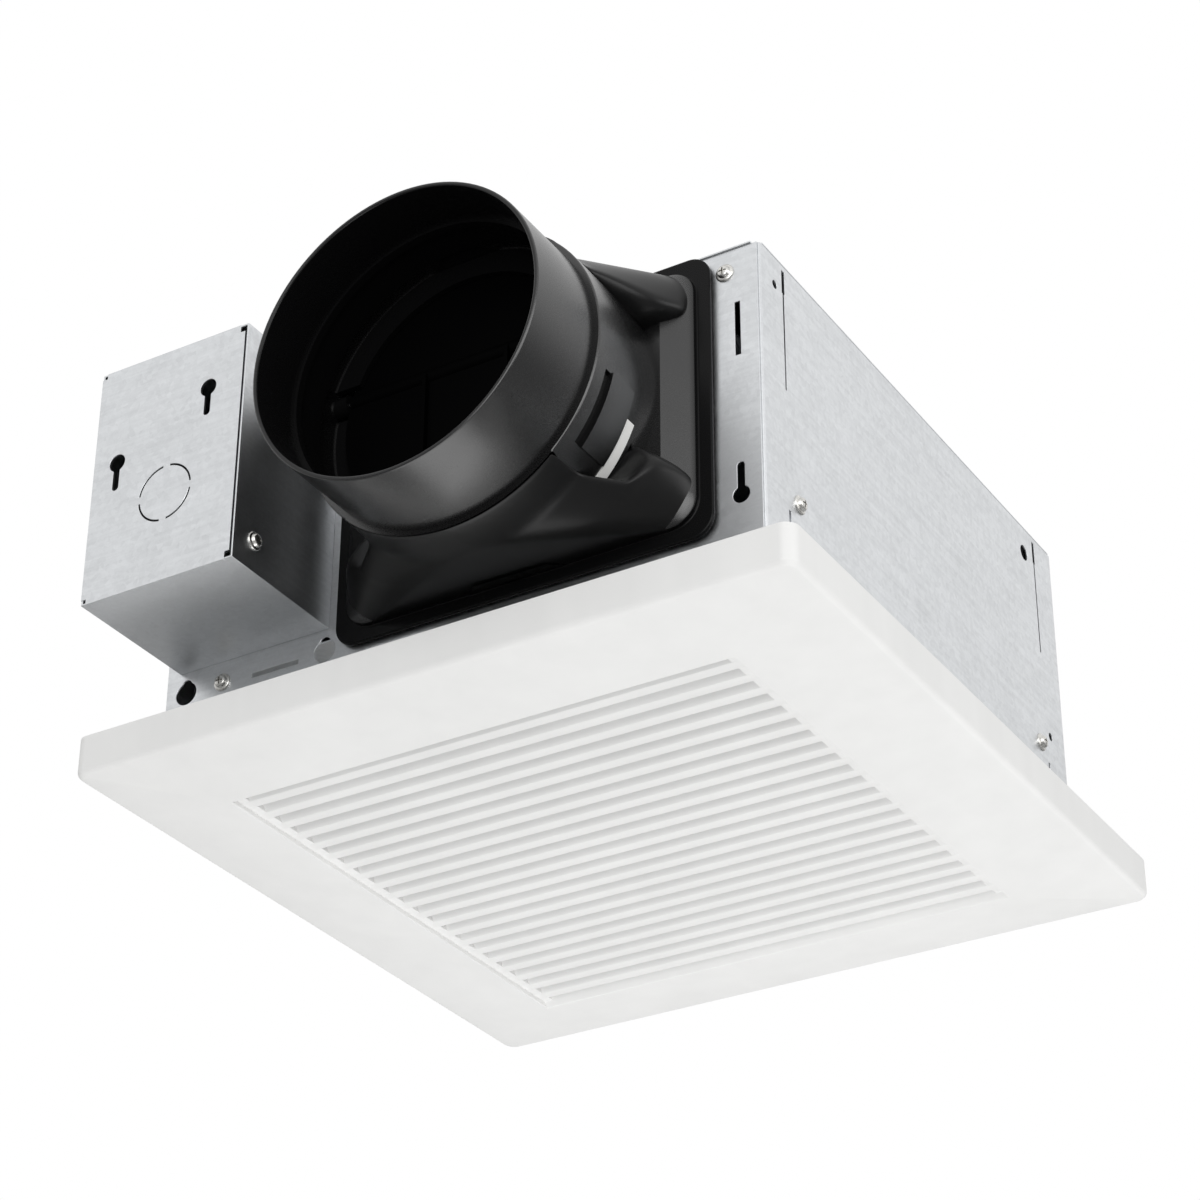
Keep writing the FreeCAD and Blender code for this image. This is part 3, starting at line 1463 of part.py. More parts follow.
def inlet_plate():
    """Floor of the scroll with its bell mouth, tabs on the side walls and a tab on the front panel."""
    bell = size("bell_radius")
    mouth = inlet_radius
    plate = box((plate_left, plate_right), (front_inside, plate_rear), (inlet_under, inlet_top))
    half = size("inlet_arm_width") / 2
    arms = []
    for y in (arm_front_y, arm_rear_y):
        wide = (y - half, y + half)
        arms.append(box((-wall_inside, wall_inside), wide, (inlet_under, inlet_top)))
        tab = (inlet_under, inlet_top + size("inlet_tab_height"))
        arms.append(box((-wall_inside, -wall_inside + steel), wide, tab))
        arms.append(box((wall_inside - steel, wall_inside), wide, tab))
    tab_half = size("floor_tab_width") / 2
    arms.append(box((floor_screw_x - tab_half, floor_screw_x + tab_half), (front_inside, front_inside + steel),
                    (inlet_top - size("floor_tab_height"), inlet_top)))
    hole = rod("z", (axis_x, axis_y), (inlet_under - steel, inlet_top + steel), mouth + bell)
    across = (-wall_inside - steel, wall_inside + steel)
    holes = [rod("x", (y, inlet_screw_z), across, screw_hole) for y in (arm_front_y, arm_rear_y)]
    holes.append(rod("y", (floor_screw_x, floor_screw_z), (front, front_inside + steel * 2), screw_hole))
    flat = cut(join([plate] + arms), [hole] + holes)
    part(join([flat, bell_mouth(float(mouth), float(bell))]), "inlet_plate")


def bell_mouth(mouth, bell):
    """A quarter-round flare from the plate up to the mouth."""
    wall = float(steel)
    under = float(inlet_under)
    corner = Vector(mouth + bell, 0, under + bell)
    bend = math.sqrt(0.5)

    def arc(radius):
        low = corner + Vector(0, 0, -radius)
        middle = corner + Vector(-radius * bend, 0, -radius * bend)
        high = corner + Vector(-radius, 0, 0)
        return Part.Arc(low, middle, high).toShape(), low, high

    outer, outer_low, outer_high = arc(bell)
    inner, inner_low, inner_high = arc(bell - wall)
    foot = Vector(wall, 0, 0)
    edges = [
        outer,
        Part.LineSegment(outer_high, inner_high).toShape(),
        inner,
        Part.LineSegment(inner_low, inner_low + foot).toShape(),
        Part.LineSegment(inner_low + foot, outer_low + foot).toShape(),
        Part.LineSegment(outer_low + foot, outer_low).toShape(),
    ]
    face = Part.Face(Part.Wire(Part.__sortEdges__(edges)))
    item = solid(face.revolve(Vector(0, 0, 0), Vector(0, 0, 1), 360))
    return place(item, axis_x, axis_y, 0)


def blower_posts():
    """Posts between the scroll's lid and the top panel, bored for the screws from above."""
    posts = [ring(x, y, (scroll_lid, top_under), screw_hole, size("post_radius")) for x, y in post_places()]
    part(group(posts), "blower_posts")


def motor_shells():
    """Two deep-drawn shells with bearing cups. The upper one has the three ears and the lead's hole."""
    radius = size("motor_radius")
    wall = size("shell_wall")
    half = size("motor_height") / 2
    hole = size("shaft_radius") + size("shaft_hole_gap")
    seat = size("bearing_radius") + size("bearing_clearance")
    cup = seat + size("bearing_cup")
    depth = wall + size("bearing_height")

    def profile(way):
        return [
            (hole, 0),
            (radius, 0),
            (radius, half * way),
            (radius - wall, half * way),
            (radius - wall, wall * way),
            (cup, wall * way),
            (cup, depth * way),
            (seat, depth * way),
            (seat, wall * way),
            (hole, wall * way),
        ]

    part(turned(axis_x, axis_y, motor_under, profile(1)), "motor_lower_shell")
    upper = turned(axis_x, axis_y, motor_top, profile(-1))
    ears = []
    holes = []
    reach = float(size("ear_circle"))
    inner = float(radius - wall)
    for x, y in motor_ear_places():
        pad = rod("z", (x, y), (motor_top - wall, motor_top), size("ear_radius"))
        neck = box((-size("ear_radius"), size("ear_radius")), (0.0, reach - inner), (0.0, wall))
        way = Vector(float(x - axis_x), float(y - axis_y), 0).normalize()
        turn = math.degrees(math.atan2(way.y, way.x)) - 90
        rotation = Rotation(Vector(0, 0, 1), turn)
        base = rotation.multVec(Vector(-float(size("ear_radius")), inner, 0))
        place(neck, axis_x + base.x, axis_y + base.y, motor_top - wall, rotation)
        ears += [pad, neck]
        holes.append(rod("z", (x, y), (motor_top - wall * 2, motor_top + wall), screw_hole))
    entry = size("lead_radius") + size("bushing_clearance") * 2
    holes.append(rod("z", (axis_x + size("lead_offset"), axis_y), (motor_top - wall * 2, motor_top + wall), entry))
    part(cut(join([upper] + ears), holes), "motor_upper_shell")


def motor_inside():
    """Bearings, stator, windings, rotor and shaft."""
    wall = size("shell_wall")
    tall = size("bearing_height")
    bore = size("shaft_radius") + size("shaft_clearance")
    outer = size("bearing_radius")
    part(ring(axis_x, axis_y, (motor_top - wall - tall, motor_top - wall), bore, outer), "upper_bearing")
    part(ring(axis_x, axis_y, (motor_under + wall, motor_under + wall + tall), bore, outer), "lower_bearing")
    middle = (motor_top + motor_under) / 2
    stack = (middle - size("stack_height") / 2, middle + size("stack_height") / 2)
    stator_outer = size("motor_radius") - wall - size("stator_clearance")
    part(ring(axis_x, axis_y, stack, size("stator_bore"), stator_outer), "stator_core")
    height = size("winding_height")
    coils = [ring(axis_x, axis_y, span, size("winding_inner"), size("winding_outer"))
             for span in ((stack[0] - height, stack[0]), (stack[1], stack[1] + height))]
    part(group(coils), "stator_windings")
    rotor_radius = size("stator_bore") - size("rotor_gap")
    part(ring(axis_x, axis_y, stack, bore, rotor_radius), "rotor_core")
    tail = hub_under - size("washer_thickness") - size("nut_height") - size("shaft_tail")
    part(rod("z", (axis_x, axis_y), (tail, motor_top - wall), size("shaft_radius")), "motor_shaft")


def motor_mounts():
    """Rubber grommets between the motor's ears and the scroll's lid."""
    grommets = [ring(x, y, (motor_top, scroll_top), screw_hole, size("grommet_radius"))
                for x, y in motor_ear_places()]
    part(group(grommets), "motor_grommets")


def blower_wheel():
    """Wheel of a dished back plate, forward-curved blades and an end ring, with its washer and nut."""
    plate = size("wheel_plate")
    outer = size("wheel_radius")
    inner = outer - size("blade_depth")
    disc = size("hub_disc_radius")
    bore = size("shaft_radius") + size("shaft_clearance")
    low = inlet_top + size("wheel_bottom_gap")
    high = scroll_top - size("wheel_top_gap")
    profile = [
        (bore, hub_under),
        (size("hub_radius"), hub_under),
        (size("hub_radius"), hub_top - plate),
        (disc, hub_top - plate),
        (inner, high - plate),
        (outer, high - plate),
        (outer, high),
        (inner - plate, high),
        (disc - plate, hub_top),
        (bore, hub_top),
    ]
    part(turned(axis_x, axis_y, 0, profile), "wheel_back_plate")
    ring_top = low + size("wheel_ring")
    part(ring(axis_x, axis_y, (low, ring_top), ring_inner, outer), "wheel_end_ring")
    blades = solid(blade_ring(float(high - plate - ring_top)))
    part(place(blades, axis_x, axis_y, ring_top), "wheel_blades")
    seat = hub_under - size("washer_thickness")
    part(ring(axis_x, axis_y, (seat, hub_under), bore, size("hub_radius")), "wheel_washer")
    part(wheel_nut(seat, bore), "wheel_nut")


def blade_ring(length):
    """The blades, each a curved strip between the wheel's inner and outer radius."""
    rim = float(size("wheel_radius"))
    inner = rim - float(size("blade_depth"))
    outer = rim - float(size("blade_thickness")) / 2
    half = float(size("blade_thickness")) / 2
    count = int(round(float(size("blade_count"))))
    lean = math.radians(float(size("blade_lean")))
    bulge = float(size("blade_bulge"))
    root = Vector(inner, 0, 0)
    tip = Vector(outer * math.cos(lean), -outer * math.sin(lean), 0)
    chord = (tip - root).normalize()
    side = Vector(-chord.y, chord.x, 0)
    middle = (root + tip) * 0.5 + side * bulge
    edges = [
        Part.Arc(root + side * half, middle + side * half, tip + side * half).toShape(),
        Part.LineSegment(tip + side * half, tip - side * half).toShape(),
        Part.Arc(tip - side * half, middle - side * half, root - side * half).toShape(),
        Part.LineSegment(root - side * half, root + side * half).toShape(),
    ]
    blade = Part.Face(Part.Wire(edges)).extrude(Vector(0, 0, length))
    blades = []
    for index in range(count):
        copy = blade.copy()
        copy.rotate(Vector(0, 0, 0), Vector(0, 0, 1), 360.0 * index / count)
        blades.append(copy)
    return Part.Compound(blades)


def wheel_nut(seat, bore):
    """Hexagon nut below the washer."""
    prism = doc.addObject("Part::Prism", "Hexagon")
    prism.Polygon = 6
    bind(prism, "Circumradius", size("nut_width") / math.sqrt(3))
    bind(prism, "Height", size("nut_height"))
    low = seat - size("nut_height")
    place(prism, axis_x, axis_y, low)
    return cut(prism, [rod("z", (axis_x, axis_y), (low - steel, seat + steel), bore)])


def biarc(start, start_way, end, end_way):
    """Two tangent arcs between two points, each with the direction of travel there."""
    span = end - start
    ways = start_way + end_way
    spread = 2 * (1 - start_way.dot(end_way))
    reach = (-span.dot(ways) + math.sqrt(span.dot(ways) ** 2 + spread * span.dot(span))) / spread
    first_corner = start + start_way * reach
    last_corner = end - end_way * reach
    meeting = (first_corner + last_corner) * 0.5
    return [arc_under(start, first_corner, meeting), arc_under(meeting, last_corner, end)]


def arc_under(start, corner, end):
    """The arc between two points whose tangents meet at a corner."""
    middle = (start + end) * 0.5
    half = (start - middle).Length
    rise = (corner - middle).Length
    sag = half * math.tan(math.atan2(rise, half) / 2)
    return Part.Arc(start, middle + (corner - middle) * (sag / rise), end).toShape()


def least_gap(edges, radius):
    """The least gap of a round wire to itself, measured on points along its middle line."""
    spacing = radius / 2
    apart = math.ceil(math.pi * 2 * radius / spacing)
    points = []
    for edge in edges:
        points += edge.discretize(Distance=spacing)
    least = min(first.distanceToPoint(second) for index, first in enumerate(points)
                for second in points[index + apart:])
    return least - 2 * radius


def grille_spring(side, label):
    """V-shaped torsion spring: two arms and a coil round the grille's peg, one unbroken wire."""
    coil = float(size("spring_coil"))
    pitch = float(size("spring_pitch"))
    splay = float(size("spring_splay"))
    first = 180 + splay
    last = 360 * (int(round(float(size("spring_turns")))) + 1) - splay
    advance = pitch * (last - first) / 360
    climb = pitch / (2 * math.pi * coil)
    steps = math.ceil((last - first) / 90)

    def spot(angle):
        turn = math.radians(angle)
        along = pitch * (angle - first) / 360 - advance / 2
        return Vector(along, coil * math.cos(turn), coil * math.sin(turn))

    def way(angle):
        turn = math.radians(angle)
        rise = 0.0 if angle in (first, last) else climb
        return Vector(rise, -math.sin(turn), math.cos(turn)).normalize()

    angles = [first + (last - first) * index / steps for index in range(steps + 1)]
    arm = float(size("spring_arm"))
    edges = [Part.LineSegment(spot(first) - way(first) * arm, spot(first)).toShape()]
    for begin, end in zip(angles, angles[1:]):
        edges += biarc(spot(begin), way(begin), spot(end), way(end))
    edges.append(Part.LineSegment(spot(last), spot(last) + way(last) * arm).toShape())
    wire = float(size("spring_wire"))
    print(f"{label}: least gap to itself {least_gap(edges, wire):.2f} mm")
    item = part(solid(swept(edges, wire)), label)
    place(item, spring_x * side, 0, spring_z)


def grille_outside(half, opening_x, opening_y):
    """The grille's outer form: a rim with rounded corners and edge, and a face that falls to the louvres."""
    rim = size("rim_height")
    edge = size("rim_edge")
    low = rim + size("face_drop")
    flat = half - edge
    block = rounded_block("z", (-half, half), (-half, half), (-rim, 0.0), size("grille_corner"))
    face = wedge((-flat, flat), (rim, low), (-flat, flat), (-opening_x, opening_x), (-opening_y, opening_y),
                 Rotation(Vector(1, 0, 0), -90))
    corners = rounded_block("z", (-flat, flat), (-flat, flat), (-low, 0.0), size("grille_corner") - edge)
    return join([rounded(block, edge, is_rim_edge), common(face, corners)])


def is_rim_edge(edge):
    """A test for the lower edge of the rim, corners included."""
    level = -float(size("rim_height"))
    return abs(edge.BoundBox.ZMin - level) < 0.01 and abs(edge.BoundBox.ZMax - level) < 0.01


def grille_inside(half, opening_x, opening_y):
    """The hollow of the grille, one wall smaller than its outside."""
    wall = size("grille_wall")
    rim = size("rim_height") - wall
    low = rim + size("face_drop")
    face_down = Rotation(Vector(1, 0, 0), -90)
    inner = half - wall
    block = box((-inner, inner), (-inner, inner), (-rim, wall))
    face = wedge((-inner, inner), (rim, low), (-inner, inner), (-opening_x, opening_x), (-opening_y, opening_y),
                 face_down)
    corners = rounded_block("z", (-inner, inner), (-inner, inner), (-low - wall, rim), size("grille_corner") - wall)
    return common(join([block, face]), corners)


def louver(length_half, base_z):
    """One louvre in section along Y and Z, drawn at y = 0: a flat bar and a blade that leans forward."""
    bar = float(size("louver_bar"))
    thick = float(size("louver_thickness"))
    rise = float(size("louver_rise"))
    slab = float(size("louver_slab")) * math.sqrt(2)
    outline = [(0, 0), (bar, 0), (bar, thick), (slab - thick, thick), (slab - rise, rise), (-rise, rise)]
    corners = [Vector(-length_half, y, base_z + z) for y, z in outline]
    face = Part.Face(Part.makePolygon(corners + corners[:1]))
    return face.extrude(Vector(2 * length_half, 0, 0))


def grille():
    """White grille: outer form, hollow, recessed panel with louvres, and pegs for the springs."""
    half = half_width + size("grille_overhang")
    opening_x = size("louver_width") / 2
    count = int(round(float(size("louver_count"))))
    opening_y = (size("louver_pitch") * count - size("louver_bar")) / 2
    low = -(size("rim_height") + size("face_drop"))
    panel_z = low + size("louver_recess")
    lap = size("louver_lap")
    panel = (panel_z, panel_z + size("louver_thickness"))
    pan = cut(grille_outside(half, opening_x, opening_y), [grille_inside(half, opening_x, opening_y)])
    window = box((-opening_x, opening_x), (-opening_y, opening_y), (low - lap, panel_z + lap))
    slots_x = opening_x - size("louver_margin")
    frame = cut(
        box((-opening_x - lap, opening_x + lap), (-opening_y - lap, opening_y + lap), panel),
        [box((-slots_x, slots_x), (-opening_y, opening_y), (panel[0] - lap, panel[1] + lap))],
    )
    shape = louver(float(slots_x) + 1.0, float(panel_z))
    louvers = []
    slot = size("louver_pitch") - size("louver_bar")
    for index in range(count):
        copy = shape.copy()
        copy.translate(Vector(0, float(slot - opening_y) + index * float(size("louver_pitch")), 0))
        louvers.append(copy)
    pieces = [cut(pan, [window]), frame, solid(Part.Compound(louvers))]
    for side in (-1, 1):
        pieces += spring_peg(side, panel_z)
    part(join(pieces), "grille")


def spring_peg(side, floor):
    """Two ears on the grille and the peg between them that carries a spring's coil."""
    wire = size("spring_wire")
    turns = size("spring_turns") + 0.5 - size("spring_splay") / 180
    half = size("spring_pitch") * turns / 2 + wire + size("peg_ear_gap")
    ear = size("peg_ear")
    wide = size("peg_ear_width") / 2
    tall = (floor, spring_z + size("peg_ear_reach"))
    radius = size("spring_coil") - wire - size("peg_clearance")
    middle = spring_x * side
    return [
        box((middle - half - ear, middle - half), (-wide, wide), tall),
        box((middle + half, middle + half + ear), (-wide, wide), tall),
        rod("x", (0.0, spring_z), (middle - half - ear, middle + half + ear), radius),
    ]


def all_screws():
    """Every screw, in groups by what it fastens."""
    pattern = screw_pattern()
    outside = [((strip_screw_x, front, strip_screw_z), "-y"), ((floor_screw_x, front, floor_screw_z), "-y")]
    outside += [((x, half_depth, z), "+y") for x, z in rear_screw_places()]
    for y in (arm_front_y, arm_rear_y):
        outside.append(((half_width, y, inlet_screw_z), "+x"))
        outside.append(((-half_width, y, inlet_screw_z), "-x"))
    part(screws(pattern, outside), "housing_screws")
    top = [((x, y, size("housing_height")), "+z") for x, y in post_places()]
    part(screws(pattern, top), "post_screws")
    part(screws(pattern, [((x, y, scroll_lid), "+z") for x, y in motor_ear_places()]), "motor_screws")
    cover_y = box_front + size("cover_screw_setback")
    cover_z = box_bottom + size("cover_screw_height")
    cover = [((box_right, cover_y, cover_z), "+x"), ((box_left, cover_y, cover_z), "-x")]
    part(screws(pattern, cover), "wiring_box_screws")
    ground = [((ground_x, front, ground_z), "-y")]
    part(screws(pattern, ground), "ground_screw")


def build():
    """Every sub-part of the fan."""
    top_panel()
    front_panel()
    rear_panel()
    side_panel(-1, "left_panel")
    side_panel(1, "right_panel")
    spring_bracket(-1, "left_spring_bracket")
    spring_bracket(1, "right_spring_bracket")
    wiring_box()
    wiring_box_cover()
    wiring_box_rivets()
    terminal_block()
    motor_plug()
    motor_lead()
    run_capacitor()
    duct_adapter()
    adapter_gasket()
    collar_catch()
    damper_flap()
    scroll_wall()
    scroll_top_plate()
    inlet_plate()
    blower_posts()
    motor_shells()
    motor_inside()
    motor_mounts()
    blower_wheel()
    grille()
    grille_spring(-1, "left_grille_spring")
    grille_spring(1, "right_grille_spring")
    all_screws()


def check():
    """Stop if any object failed, or if a sub-part is empty or not valid."""
    doc.recompute()
    failed = [item.Label for item in doc.Objects if "Invalid" in item.State or "Error" in item.State]
    if failed:
        raise RuntimeError(f"objects that failed: {failed}")
    for item in parts:
        shape = item.Shape
        if shape.isNull() or not shape.isValid() or not shape.Solids:
            raise RuntimeError(f"{item.Label} is empty or not valid")


def write():
    """One file for each sub-part."""
    os.makedirs("parts", exist_ok=True)
    for item in parts:
        item.Shape.exportStep(f"parts/{item.Label}.step")
        print(f"{item.Label}: {len(item.Shape.Solids)} solids, {item.Shape.Volume / 1000:.2f} cm3")


build()
check()
write()
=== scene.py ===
"""Looks of a ceiling exhaust fan: sheet housing, wiring box, duct adapter, blower and louvred grille."""

import json
import math

import bmesh
import bpy
from bpy.props import FloatProperty, FloatVectorProperty, IntProperty, PointerProperty
from bpy.types import Operator, Panel, PropertyGroup
from mathutils import Matrix, Vector


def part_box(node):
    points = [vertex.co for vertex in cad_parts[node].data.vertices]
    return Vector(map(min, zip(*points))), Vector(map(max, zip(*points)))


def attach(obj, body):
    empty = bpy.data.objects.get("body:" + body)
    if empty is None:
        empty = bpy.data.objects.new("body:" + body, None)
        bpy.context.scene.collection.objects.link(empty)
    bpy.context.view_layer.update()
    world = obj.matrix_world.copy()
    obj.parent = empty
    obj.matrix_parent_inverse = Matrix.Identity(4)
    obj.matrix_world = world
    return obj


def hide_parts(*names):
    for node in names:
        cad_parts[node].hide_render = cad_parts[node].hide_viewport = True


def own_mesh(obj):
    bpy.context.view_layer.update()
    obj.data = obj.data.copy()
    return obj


bl_info = {
    "name": "Exhaust Fan Looks",
    "version": (1, 0, 0),
    "blender": (4, 5, 0),
    "location": "View3D > Sidebar > Exhaust Fan",
    "description": "Dresses the packed exhaust fan with its sheet, moulded and wound finishes",
    "category": "Object",
}

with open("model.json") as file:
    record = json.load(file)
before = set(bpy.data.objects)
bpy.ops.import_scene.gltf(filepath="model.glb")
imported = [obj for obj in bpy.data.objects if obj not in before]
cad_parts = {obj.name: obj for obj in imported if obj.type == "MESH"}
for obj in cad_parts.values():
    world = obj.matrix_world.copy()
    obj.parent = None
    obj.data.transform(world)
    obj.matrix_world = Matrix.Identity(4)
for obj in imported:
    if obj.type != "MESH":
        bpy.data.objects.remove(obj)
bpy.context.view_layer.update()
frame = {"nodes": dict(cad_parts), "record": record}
NODE_SLOT = {entry["node"]: entry["material_slot"] for entry in frame["record"]["subparts"]}
# Edges that turn by more than this many degrees are sharp: in general, and on four pieces with finer forms
SHARP, SHARP_ADAPTER, SHARP_GRILLE, SHARP_SCREW, SHARP_SPRING = 32.0, 20.0, 25.0, 40.0, 50.0
# Points of a CAD node nearer than this are one; faces flatter to each other than this, in degrees, are one
MERGE, FLAT = 0.000004, 0.6
# Lamps: name, place, target, width and power
LAMPS = (("front", (0.75, -2.2, 0.15), (0.0, -0.05, 0.05), 1.7, 20.0),
         ("side", (2.3, -0.35, 0.15), (0.0, 0.0, 0.05), 1.5, 14.0),
         ("under", (0.06, 0.30, -1.25), (0.0, 0.0, 0.0), 1.6, 12.7))
# The adapter: middle of its collar, radius of its neck, and the most that the latch stands out
COLLAR_X, COLLAR_Z, NECK, LATCH_TOP = 0.039, 0.10345, 0.078, 0.0798
# Depths of the adapter's rim, its bead, the start of its hoods, its plateau, its step and its flange
RIM, BEAD, HOOD_START, PLATEAU, STEP_FRONT, FLANGE_BACK = -0.270, -0.224, -0.204, -0.174, -0.170, -0.163
# The corner that a hood ends in: half width, heights above and below the collar's middle, and radius
HOOD_WIDE, HOOD_TALL, HOOD_CORNER = 0.07965, {1: 0.04955, -1: 0.05955}, 0.0136
# A hood's course: share of the way to the flange, angle of its foot on the neck, and its edge beyond
UPPER_HOOD = ((0.0, 44.0, 0.0004), (0.12, 38.0, 0.001), (0.24, 32.5, 0.0015), (0.36, 28.5, 0.0021),
              (0.48, 25.5, 0.0027), (0.60, 24.3, 0.0033), (0.72, 24.0, 0.0039), (0.84, 23.5, 0.0044),
              (1.0, 23.5, 0.0058))
LOWER_HOOD = ((0.0, 47.0, -0.0005), (0.10, 47.0, -0.0005), (0.20, 47.0, -0.0005), (0.30, 47.0, -0.0005),
              (0.36, 47.0, -0.0005), (0.41, 46.5, -0.0003), (0.485, 26.0, 0.012), (0.60, 25.5, 0.013),
              (0.74, 25.0, 0.0145), (0.86, 25.0, 0.0165), (1.0, 25.0, 0.0186))
# Where the collar's wall starts and ends, where its lip stands and the painted shade inside the collar
# begins, and where the gloss drops at the shoulder
COLLAR_WALL, LIP, SHOULDER = (0.0741, 0.0747), (-0.2425, -0.2415), (-0.1685, -0.1665)
# A slanted blade's thickness along the depth beside its own, and a strip's step behind the blades' bars
BLADE_SLANT, STRIP_LIFT = 1.27, 0.0001
# A screw's shank, and its outline from the crown's edge to the shank's tip: radius and height
SHANK = 0.008
SCREW_RINGS = ((0.0030, 0.0023), (0.0031, 0.0014), (0.0033, 0.0011), (0.0042, 0.0009), (0.0045, 0.0007),
               (0.0046, 0.0004), (0.0046, 0.0), (0.0019, 0.0), (0.0019, -0.0074), (0.0012, -SHANK))
# A screw's crown: radius, fall to its edge, and height; its cross: depth, reach and taper
CROWN, CROWN_FALL, CROWN_TOP = 0.0027, 0.0005, 0.0031
CROSS_DEPTH, CROSS_REACH, CROSS_TAPER = 0.0014, 0.72, 0.82


def colour(name, description, default):
    """A colour property in linear light."""
    return FloatVectorProperty(name=name, description=description, default=default, subtype="COLOR",
                               min=0.0, max=1.0)


class FanColours(PropertyGroup):
    """Colours of the fan's finishes."""
    galvanised: colour("Galvanised Sheet", "Zinc-coated housing sheet", (0.680, 0.695, 0.710))
    zinc: colour("Zinc Plate", "Plated screws, rivets and nuts", (0.70, 0.69, 0.66))
    black_plastic: colour("Black Plastic", "Moulded duct adapter and wheel", (0.0045, 0.0045, 0.0047))
    # The damper flap is darker than the adapter's black plastic: painted shade deep inside the collar
    flap_plastic: colour("Flap Plastic", "Matte damper flap", (0.0010, 0.0010, 0.0011))
    white_plastic: colour("White Plastic", "Moulded grille", (0.86, 0.86, 0.85))
    white_nylon: colour("White Nylon", "Catch in the adapter's neck", (0.88, 0.88, 0.86))
    foam: colour("Foam", "Gasket and damper seal", (0.035, 0.035, 0.036))
    rubber: colour("Rubber", "Grommets and bushings", (0.018, 0.018, 0.019))
    motor_paint: colour("Motor Paint", "Painted motor shells", (0.045, 0.047, 0.050))
    core_steel: colour("Core Steel", "Laminated stator and rotor", (0.24, 0.25, 0.27))
    copper: colour("Enamelled Copper", "Stator windings", (0.62, 0.24, 0.10))
    bright_steel: colour("Bright Steel", "Shaft, bearings and damper pin", (0.66, 0.67, 0.69))
    spring_steel: colour("Spring Wire", "Grille springs", (0.36, 0.37, 0.39))
    capacitor: colour("Capacitor Case", "Moulded capacitor case", (0.028, 0.029, 0.032))
    sleeve: colour("Lead Sleeve", "Braided sleeve on the leads", (0.030, 0.030, 0.033))


class FanSizes(PropertyGroup):
    """Sizes of the edges, the grille and the grain that the looks add."""
    sheet_edge: FloatProperty(name="Sheet Edge", description="Rounding of cut and folded sheet edges",
                              default=0.00028, unit="LENGTH")
    moulded_edge: FloatProperty(name="Moulded Edge", description="Rounding of the adapter's edges",
                                default=0.0007, unit="LENGTH")
    hood_wall: FloatProperty(name="Hood Wall", description="Wall of the adapter's hoods", default=0.0012,
                             unit="LENGTH")
    louvre_edge: FloatProperty(name="Louvre Edge", description="Rounding of the grille's blade edges",
                               default=0.0004, unit="LENGTH")
    rim_height: FloatProperty(name="Rim Height", description="Height of the grille's rim", default=0.020,
                              unit="LENGTH")
    rim_corner: FloatProperty(name="Rim Corner", description="Corner radius of the grille in plan",
                              default=0.007, unit="LENGTH")
    rim_edge: FloatProperty(name="Rim Edge", description="Rounding between the grille's rim and face",
                            default=0.003, unit="LENGTH")
    grille_wall: FloatProperty(name="Grille Wall", description="Wall of the grille's pan", default=0.0025,
                               unit="LENGTH")
    opening: FloatVectorProperty(name="Opening", description="Half sizes of the louvred opening", size=2,
                                 default=(0.1345, 0.140), unit="LENGTH")
    recess: FloatProperty(name="Recess", description="How far the louvres lie behind the face",
                          default=0.0025, unit="LENGTH")
    louvre_count: IntProperty(name="Louvre Count", description="Blades in the opening", default=22)
    louvre_pitch: FloatProperty(name="Louvre Pitch", description="Step from blade to blade", default=0.013,
                                unit="LENGTH")
    louvre_bar: FloatProperty(name="Louvre Bar", description="Flat front of a blade", default=0.006,
                              unit="LENGTH")
    louvre_thickness: FloatProperty(name="Louvre Thickness", description="Wall of a blade", default=0.002,
                                    unit="LENGTH")
    louvre_rise: FloatProperty(name="Louvre Rise", description="Depth of a blade", default=0.008,
                               unit="LENGTH")
    side_strip: FloatProperty(name="Side Strip", description="Flat strip beside the blades' ends",
                              default=0.005, unit="LENGTH")
    spring_coil: FloatProperty(name="Spring Coil", description="Outer radius of a grille spring's coil",
                               default=0.0065, unit="LENGTH")
    edge_steps: IntProperty(name="Edge Steps", description="Segments across a rounded edge", default=2)
    spangle: FloatProperty(name="Spangle", description="Width of a zinc crystal on the sheet",
                           default=0.0026, unit="LENGTH")


class FanStage(PropertyGroup):
    """Camera, floor and surroundings."""
    camera_place: FloatVectorProperty(name="Camera Place", description="Where the camera stands",
                                      default=(0.700, -1.186, -0.702), subtype="TRANSLATION")
    camera_yaw: FloatProperty(name="Camera Yaw",
                              description="Turn about the vertical from the housing's depth",
                              default=math.radians(-31.19), subtype="ANGLE")
    camera_pitch: FloatProperty(name="Camera Pitch", description="Tilt upwards",
                                default=math.radians(30.69), subtype="ANGLE")
    camera_roll: FloatProperty(name="Camera Roll", description="Turn about the line of sight",
                               default=math.radians(0.23), subtype="ANGLE")
    lens: FloatProperty(name="Lens", description="Focal length on a 36 mm sensor, in millimetres",
                        default=95.06)
    floor_height: FloatProperty(name="Floor Height", description="Height of the floor", default=-1.90,
                                unit="LENGTH")
    fill: FloatProperty(name="Fill", description="Strength of the light from all round", default=0.55)
    low_mirror: FloatProperty(name="Low Mirror",
                              description="What gloss and metal see low down, beside white above",
                              default=0.30)


